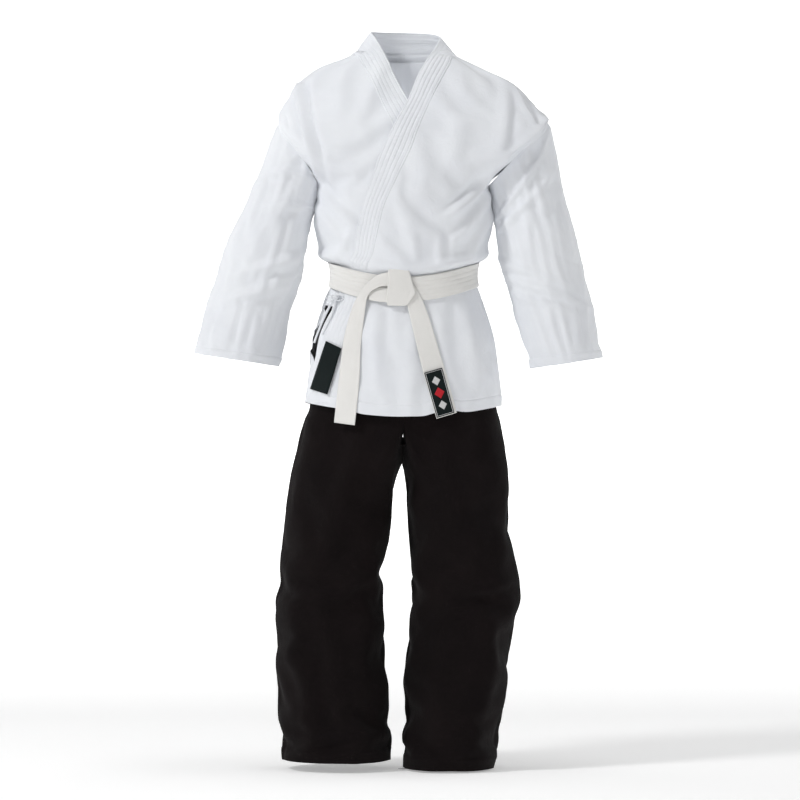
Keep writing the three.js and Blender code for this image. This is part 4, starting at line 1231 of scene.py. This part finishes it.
# ------------------------------------------------------------------ side tie
TIE_KNOT = (-124, 868)
TIE_TAILS = {
    "side_tie_tail_back": [(-133, 858), (-142, 836), (-154, 808), (-163, 784)],
    "side_tie_tail_front": [(-124, 857), (-130, 838), (-139, 818), (-148, 800)],
}
TIE_RADIUS = 2.2
KNOT_RADIUS = 6.5


def on_skirt(x, h, stand_off):
    """The side of the skirt, on straight lines between the sections."""
    i = 0
    while BODY[i + 1][0] < h:
        i += 1
    share = (h - BODY[i][0]) / (BODY[i + 1][0] - BODY[i][0])
    right, deep = (lerp(BODY[i][c], BODY[i + 1][c], share) for c in (RIGHT, DEEP_FRONT))
    offset = LAPEL_OUT + stand_off
    turn = math.acos(max(x / (right + offset), -1.0))
    return Vector(((right + offset) * math.cos(turn), -(3 + (deep + offset - 3) * math.sin(turn)), h))


tie_middle = on_skirt(*TIE_KNOT, KNOT_RADIUS + 2 * GAP)
tie_cords = {}
for name, route in TIE_TAILS.items():
    points = [on_skirt(x, h, TIE_RADIUS + 3 * GAP) for x, h in route]
    start = tie_middle + (points[0] - tie_middle).normalized() * (KNOT_RADIUS + 3 * GAP)
    curve = bpy.data.curves.new(name + "_cord", "CURVE")
    curve.dimensions = "3D"
    curve.bevel_depth = TIE_RADIUS * MM
    curve.bevel_resolution = 4
    curve.use_fill_caps = True
    line = curve.splines.new("POLY")
    stations = [start] + points[1:]
    count = 36
    line.points.add(count)
    for k in range(count + 1):
        x, y, h = spline([list(p) for p in stations], k / count)
        line.points[k].co = (*point_mm(x, y, h), 1)
    curve.materials.append(JACKET_WHITE)
    cord = bpy.data.objects.new(name + "_cord", curve)
    bpy.context.collection.objects.link(cord)
    tie_cords[name] = cord


def tie_loops():
    """The knot of the side tie: a small ball of tape with two bows."""
    mesh = bpy.data.meshes.new("tie_ball")
    edit = bmesh.new()
    bmesh.ops.create_uvsphere(edit, u_segments=40, v_segments=24, radius=1.0)
    for vertex in edit.verts:
        x, y, z = vertex.co
        wrap = 0.10 * math.sin(9 * (z + 0.6 * x)) + 0.05 * math.sin(23 * (z - 0.4 * x))
        r = KNOT_RADIUS * (1 + wrap)
        vertex.co = Vector((x * r * 1.15, y * r * 0.8, z * r))
        vertex.co += Vector((tie_middle.x, tie_middle.y, tie_middle.z))
        vertex.co = point_mm(*vertex.co)
    for side, lean in ((-1, 0.2), (1, -0.3)):
        rings = []
        for k in range(25):
            turn = 2 * math.pi * k / 24
            middle = Vector((side * (7 + 8 * math.cos(turn)), -2.5, 5 * math.sin(turn) + side * lean * 6))
            ring = []
            for j in range(8):
                spin = 2 * math.pi * j / 8
                out = Vector((math.cos(turn), 0, math.sin(turn))) * (1.2 * math.cos(spin))
                spot = tie_middle + middle + out + Vector((0, 2.6 * math.sin(spin), 0))
                ring.append(edit.verts.new(point_mm(*spot)))
            rings.append(ring)
        for k in range(24):
            for j in range(8):
                m = (j + 1) % 8
                edit.faces.new((rings[k][j], rings[k][m], rings[k + 1][m], rings[k + 1][j]))
    bmesh.ops.remove_doubles(edit, verts=edit.verts, dist=1e-6)
    bmesh.ops.recalc_face_normals(edit, faces=edit.faces)
    uv = edit.loops.layers.uv.new("cloth")
    for face in edit.faces:
        face.smooth = True
        for corner in face.loops:
            corner[uv].uv = (corner.vert.co.x, corner.vert.co.z)
    edit.to_mesh(mesh)
    edit.free()
    mesh.materials.append(JACKET_WHITE)
    obj = bpy.data.objects.new("tie_ball", mesh)
    bpy.context.collection.objects.link(obj)
    return obj


tie_knot = tie_loops()


# ------------------------------------------------------------------ waist of the trousers
WAIST_ROWS = [900, 901, 903, 906, 910, 913, 916, 919, 922, 925, 928, 931, 934, 936, 937.4, 938]
WAIST_TURNS = 160


def waist_ring(name, out, material, relief, thickness):
    rows = []
    for h in WAIST_ROWS:
        row = []
        for j in range(WAIST_TURNS):
            turn = 2 * math.pi * j / WAIST_TURNS
            half = (130 if math.cos(turn) > 0 else 127) - 4.6
            deep = (89 if math.sin(turn) > 0 else 95) - 4.6
            grow = out + relief(turn, h)
            row.append(point_mm((half + grow) * math.cos(turn), -(deep + grow) * math.sin(turn), h))
        rows.append(row)
    return grid_object(name, rows, material, closed=True, thickness=thickness)


def gathered(turn, h):
    """The elastic gathers the waistband into small ridges."""
    return 0.5 * math.sin(turn * 74 + 2 * noise.noise(Vector((turn * 3, h / 20, 0)))) - 0.4


def ribbed(turn, h):
    """The woven ribs that run round the elastic."""
    return 0.3 * math.sin(h * 1.9)


waistband = waist_ring("waistband_cloth", 2.2, TROUSER_BLACK, gathered, 1.6)
elastic = waist_ring("elastic_band", -3.4, ELASTIC_BLACK, ribbed, 1.6)


# ------------------------------------------------------------------ stage, light and camera
def pale_floor():
    """A matt white that glows more and more behind the object, where the lamps don't reach."""
    floor = bpy.data.materials.new("pale_floor")
    floor.use_nodes = True
    nodes, links = floor.node_tree.nodes, floor.node_tree.links
    surface = nodes["Principled BSDF"]
    surface.inputs["Base Color"].default_value = (0.92, 0.92, 0.92, 1)
    surface.inputs["Roughness"].default_value = 0.9
    surface.inputs["Emission Color"].default_value = (1, 1, 1, 1)
    place = nodes.new("ShaderNodeTexCoord")
    split = nodes.new("ShaderNodeSeparateXYZ")
    glow = nodes.new("ShaderNodeMapRange")
    glow.inputs["From Min"].default_value = 1.2
    glow.inputs["From Max"].default_value = 4.5
    glow.inputs["To Min"].default_value = 0.32
    glow.inputs["To Max"].default_value = 1.0
    links.new(place.outputs["Object"], split.inputs["Vector"])
    links.new(split.outputs["Y"], glow.inputs["Value"])
    links.new(glow.outputs["Result"], surface.inputs["Emission Strength"])
    return floor


FLOOR_RADIUS = 16.0
WALL_TOP = 3.0


def build_stage():
    """A round floor that curves up into a low wall all round, outside the camera's circle."""
    foot = CAD_BOX[0][2] - 0.004
    profile = [(radius, foot) for radius in (0.01, 1.0, 2.0, 4.0, 8.0, FLOOR_RADIUS)]
    for k in range(1, 9):
        turn = math.pi / 2 * k / 8
        profile.append((FLOOR_RADIUS + math.sin(turn), foot + 1 - math.cos(turn)))
    profile.append((FLOOR_RADIUS + 1, WALL_TOP))
    rows = []
    for k in range(97):
        turn = 2 * math.pi * k / 96
        rows.append([Vector((r * math.cos(turn), r * math.sin(turn), z)) for r, z in profile])
    stage = grid_object("stage_floor", rows, pale_floor(), thickness=0)


def build_light():
    world = bpy.data.worlds.new("studio")
    world.use_nodes = True
    world.node_tree.nodes["Background"].inputs["Color"].default_value = (1, 1, 1, 1)
    world.node_tree.nodes["Background"].inputs["Strength"].default_value = 0.18
    bpy.context.scene.world = world
    middle = Vector((0, 0, -0.55))
    lamps = [("key", (-3.0, -2.0, 2.4), 0.8, 92, middle), ("fill", (3.4, -2.6, 0.4), 2.4, 15, middle),
             ("front", (0.0, -5.2, 0.9), 2.0, 10, middle), ("top", (0.4, -0.2, 3.2), 1.2, 26, middle),
             ("collar", (0.0, -0.01, -0.17), 0.14, 0.13, Vector((0, 0.05, 0.2))),
             ("rim_right", (-2.8, 1.6, 0.8), 1.6, 8, middle), ("rim_left", (2.8, 1.6, 0.8), 1.6, 10, middle)]
    for name, place, size, power, target in lamps:
        light = bpy.data.lights.new(name, "AREA")
        light.shape = "SQUARE"
        light.size = size
        light.energy = power
        lamp = bpy.data.objects.new(name, light)
        lamp.location = place
        lamp.visible_camera = False
        aim = target - Vector(place)
        lamp.rotation_euler = aim.to_track_quat("-Z", "Y").to_euler()
        bpy.context.collection.objects.link(lamp)


def build_camera():
    lens = bpy.data.cameras.new("camera")
    lens.lens = 170.5
    lens.sensor_width = 36
    camera = bpy.data.objects.new("camera", lens)
    camera.location = (-0.0055, -7.0, -0.6209)
    camera.rotation_euler = (math.pi / 2, 0, 0)
    bpy.context.collection.objects.link(camera)
    bpy.context.scene.camera = camera
    bpy.context.scene.view_settings.view_transform = "Standard"


build_stage()
build_light()
build_camera()


# ------------------------------------------------------------------ gusset and eyelets
def crotch_gusset():
    """A narrow strip that joins the tops of the legs from front to back."""
    rows = []
    for i in range(49):
        y = lerp(-97, 102, i / 48)
        row = []
        for j in range(7):
            x = lerp(-4.0, 4.0, j / 6)
            dip = 1.5 * math.sin(math.pi * j / 6) + wander(x, y, 0, 18, 0.8)
            row.append(point_mm(x, y, CROTCH - 1 - dip))
        rows.append(row)
    return grid_object("crotch_strip", rows, TROUSER_BLACK)


gusset = crotch_gusset()
for name in ("eyelet_right", "eyelet_left"):
    for slot in bpy.data.objects[name].material_slots:
        slot.material = NICKEL


def inside_seat(centre):
    """True where a leg's wall runs inside the seat, between the two halves."""
    h = centre.z + HANG_HEIGHT
    deep = at_height(LEG_LEFT, h, 4 if centre.y < 0 else 5)
    return h > CROTCH + 8 and abs(centre.x) < 7 and abs(centre.y) < 0.8 * deep


def keep_faces(obj, test):
    """Removes the faces whose centre fails a test, and the vertices left without a face."""
    edit = bmesh.new()
    edit.from_mesh(obj.data)
    doomed = [face for face in edit.faces if not test(face.calc_center_median() / MM)]
    bmesh.ops.delete(edit, geom=doomed, context="FACES")
    edit.to_mesh(obj.data)
    edit.free()


for leg in legs.values():
    keep_faces(leg, lambda centre: not inside_seat(centre))


# ------------------------------------------------------------------ how the pieces ride
ON_JACKET = (over_front, under_front, jacket_back, lapel_band, yoke, belt_inner, belt_outer, knot_band,
             knot_cross, patch, tie_knot, *tie_cords.values())
for piece in ON_JACKET:
    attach(piece, "jacket")
for piece in (waistband, elastic, gusset):
    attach(piece, "trousers")
for piece in (label, *label_trims):
    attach(piece, "left_tail")
TAIL_BEND = {"right": ((-0.088, -0.10, -0.428), (-0.088, -0.10, -0.462)),
             "left": ((0.022, -0.11, -0.430), (0.022, -0.11, -0.470))}
for name, tail in (("right", tail_right), ("left", tail_left)):
    start, end = TAIL_BEND[name]
    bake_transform(tail)
for name, side in (("right", -1), ("left", 1)):
    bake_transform(sleeves[name])
    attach(cuffs[name], name + "_sleeve")
    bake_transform(legs[name])
    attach(leg_hems[name], name + "_leg")

STANDS_FOR = {
    over_front: ["jacket_front_left", "hem_facing_front_left"],
    under_front: ["jacket_front_right", "hem_facing_front_right"],
    jacket_back: ["jacket_back_right", "jacket_back_left", "hem_facing_back"],
    lapel_band: ["lapel_left", "lapel_right", "neck_band"],
    yoke: ["yoke_lining"],
    belt_inner: ["belt_wrap_inner"],
    belt_outer: ["belt_wrap_outer"],
    knot_band: ["belt_knot_loop"],
    knot_cross: ["belt_knot_cross", "belt_knot_side"],
    tail_right: ["belt_tail_right"],
    tail_left: ["belt_tail_left"],
    label: ["belt_label"],
    patch: ["lapel_patch"],
    tie_knot: ["side_tie_knot"],
    waistband: ["trouser_waistband"],
    elastic: ["waist_elastic"],
    gusset: ["crotch_gusset"],
}
for name, cord in tie_cords.items():
    STANDS_FOR[cord] = [name]
for name in ("right", "left"):
    STANDS_FOR[sleeves[name]] = ["sleeve_" + name]
    STANDS_FOR[cuffs[name]] = ["cuff_facing_" + name]
    STANDS_FOR[legs[name]] = ["leg_front_" + name, "leg_back_" + name, "trouser_hip_" + name]
    STANDS_FOR[leg_hems[name]] = ["leg_hem_" + name]
for piece, nodes in STANDS_FOR.items():
    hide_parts(*nodes)
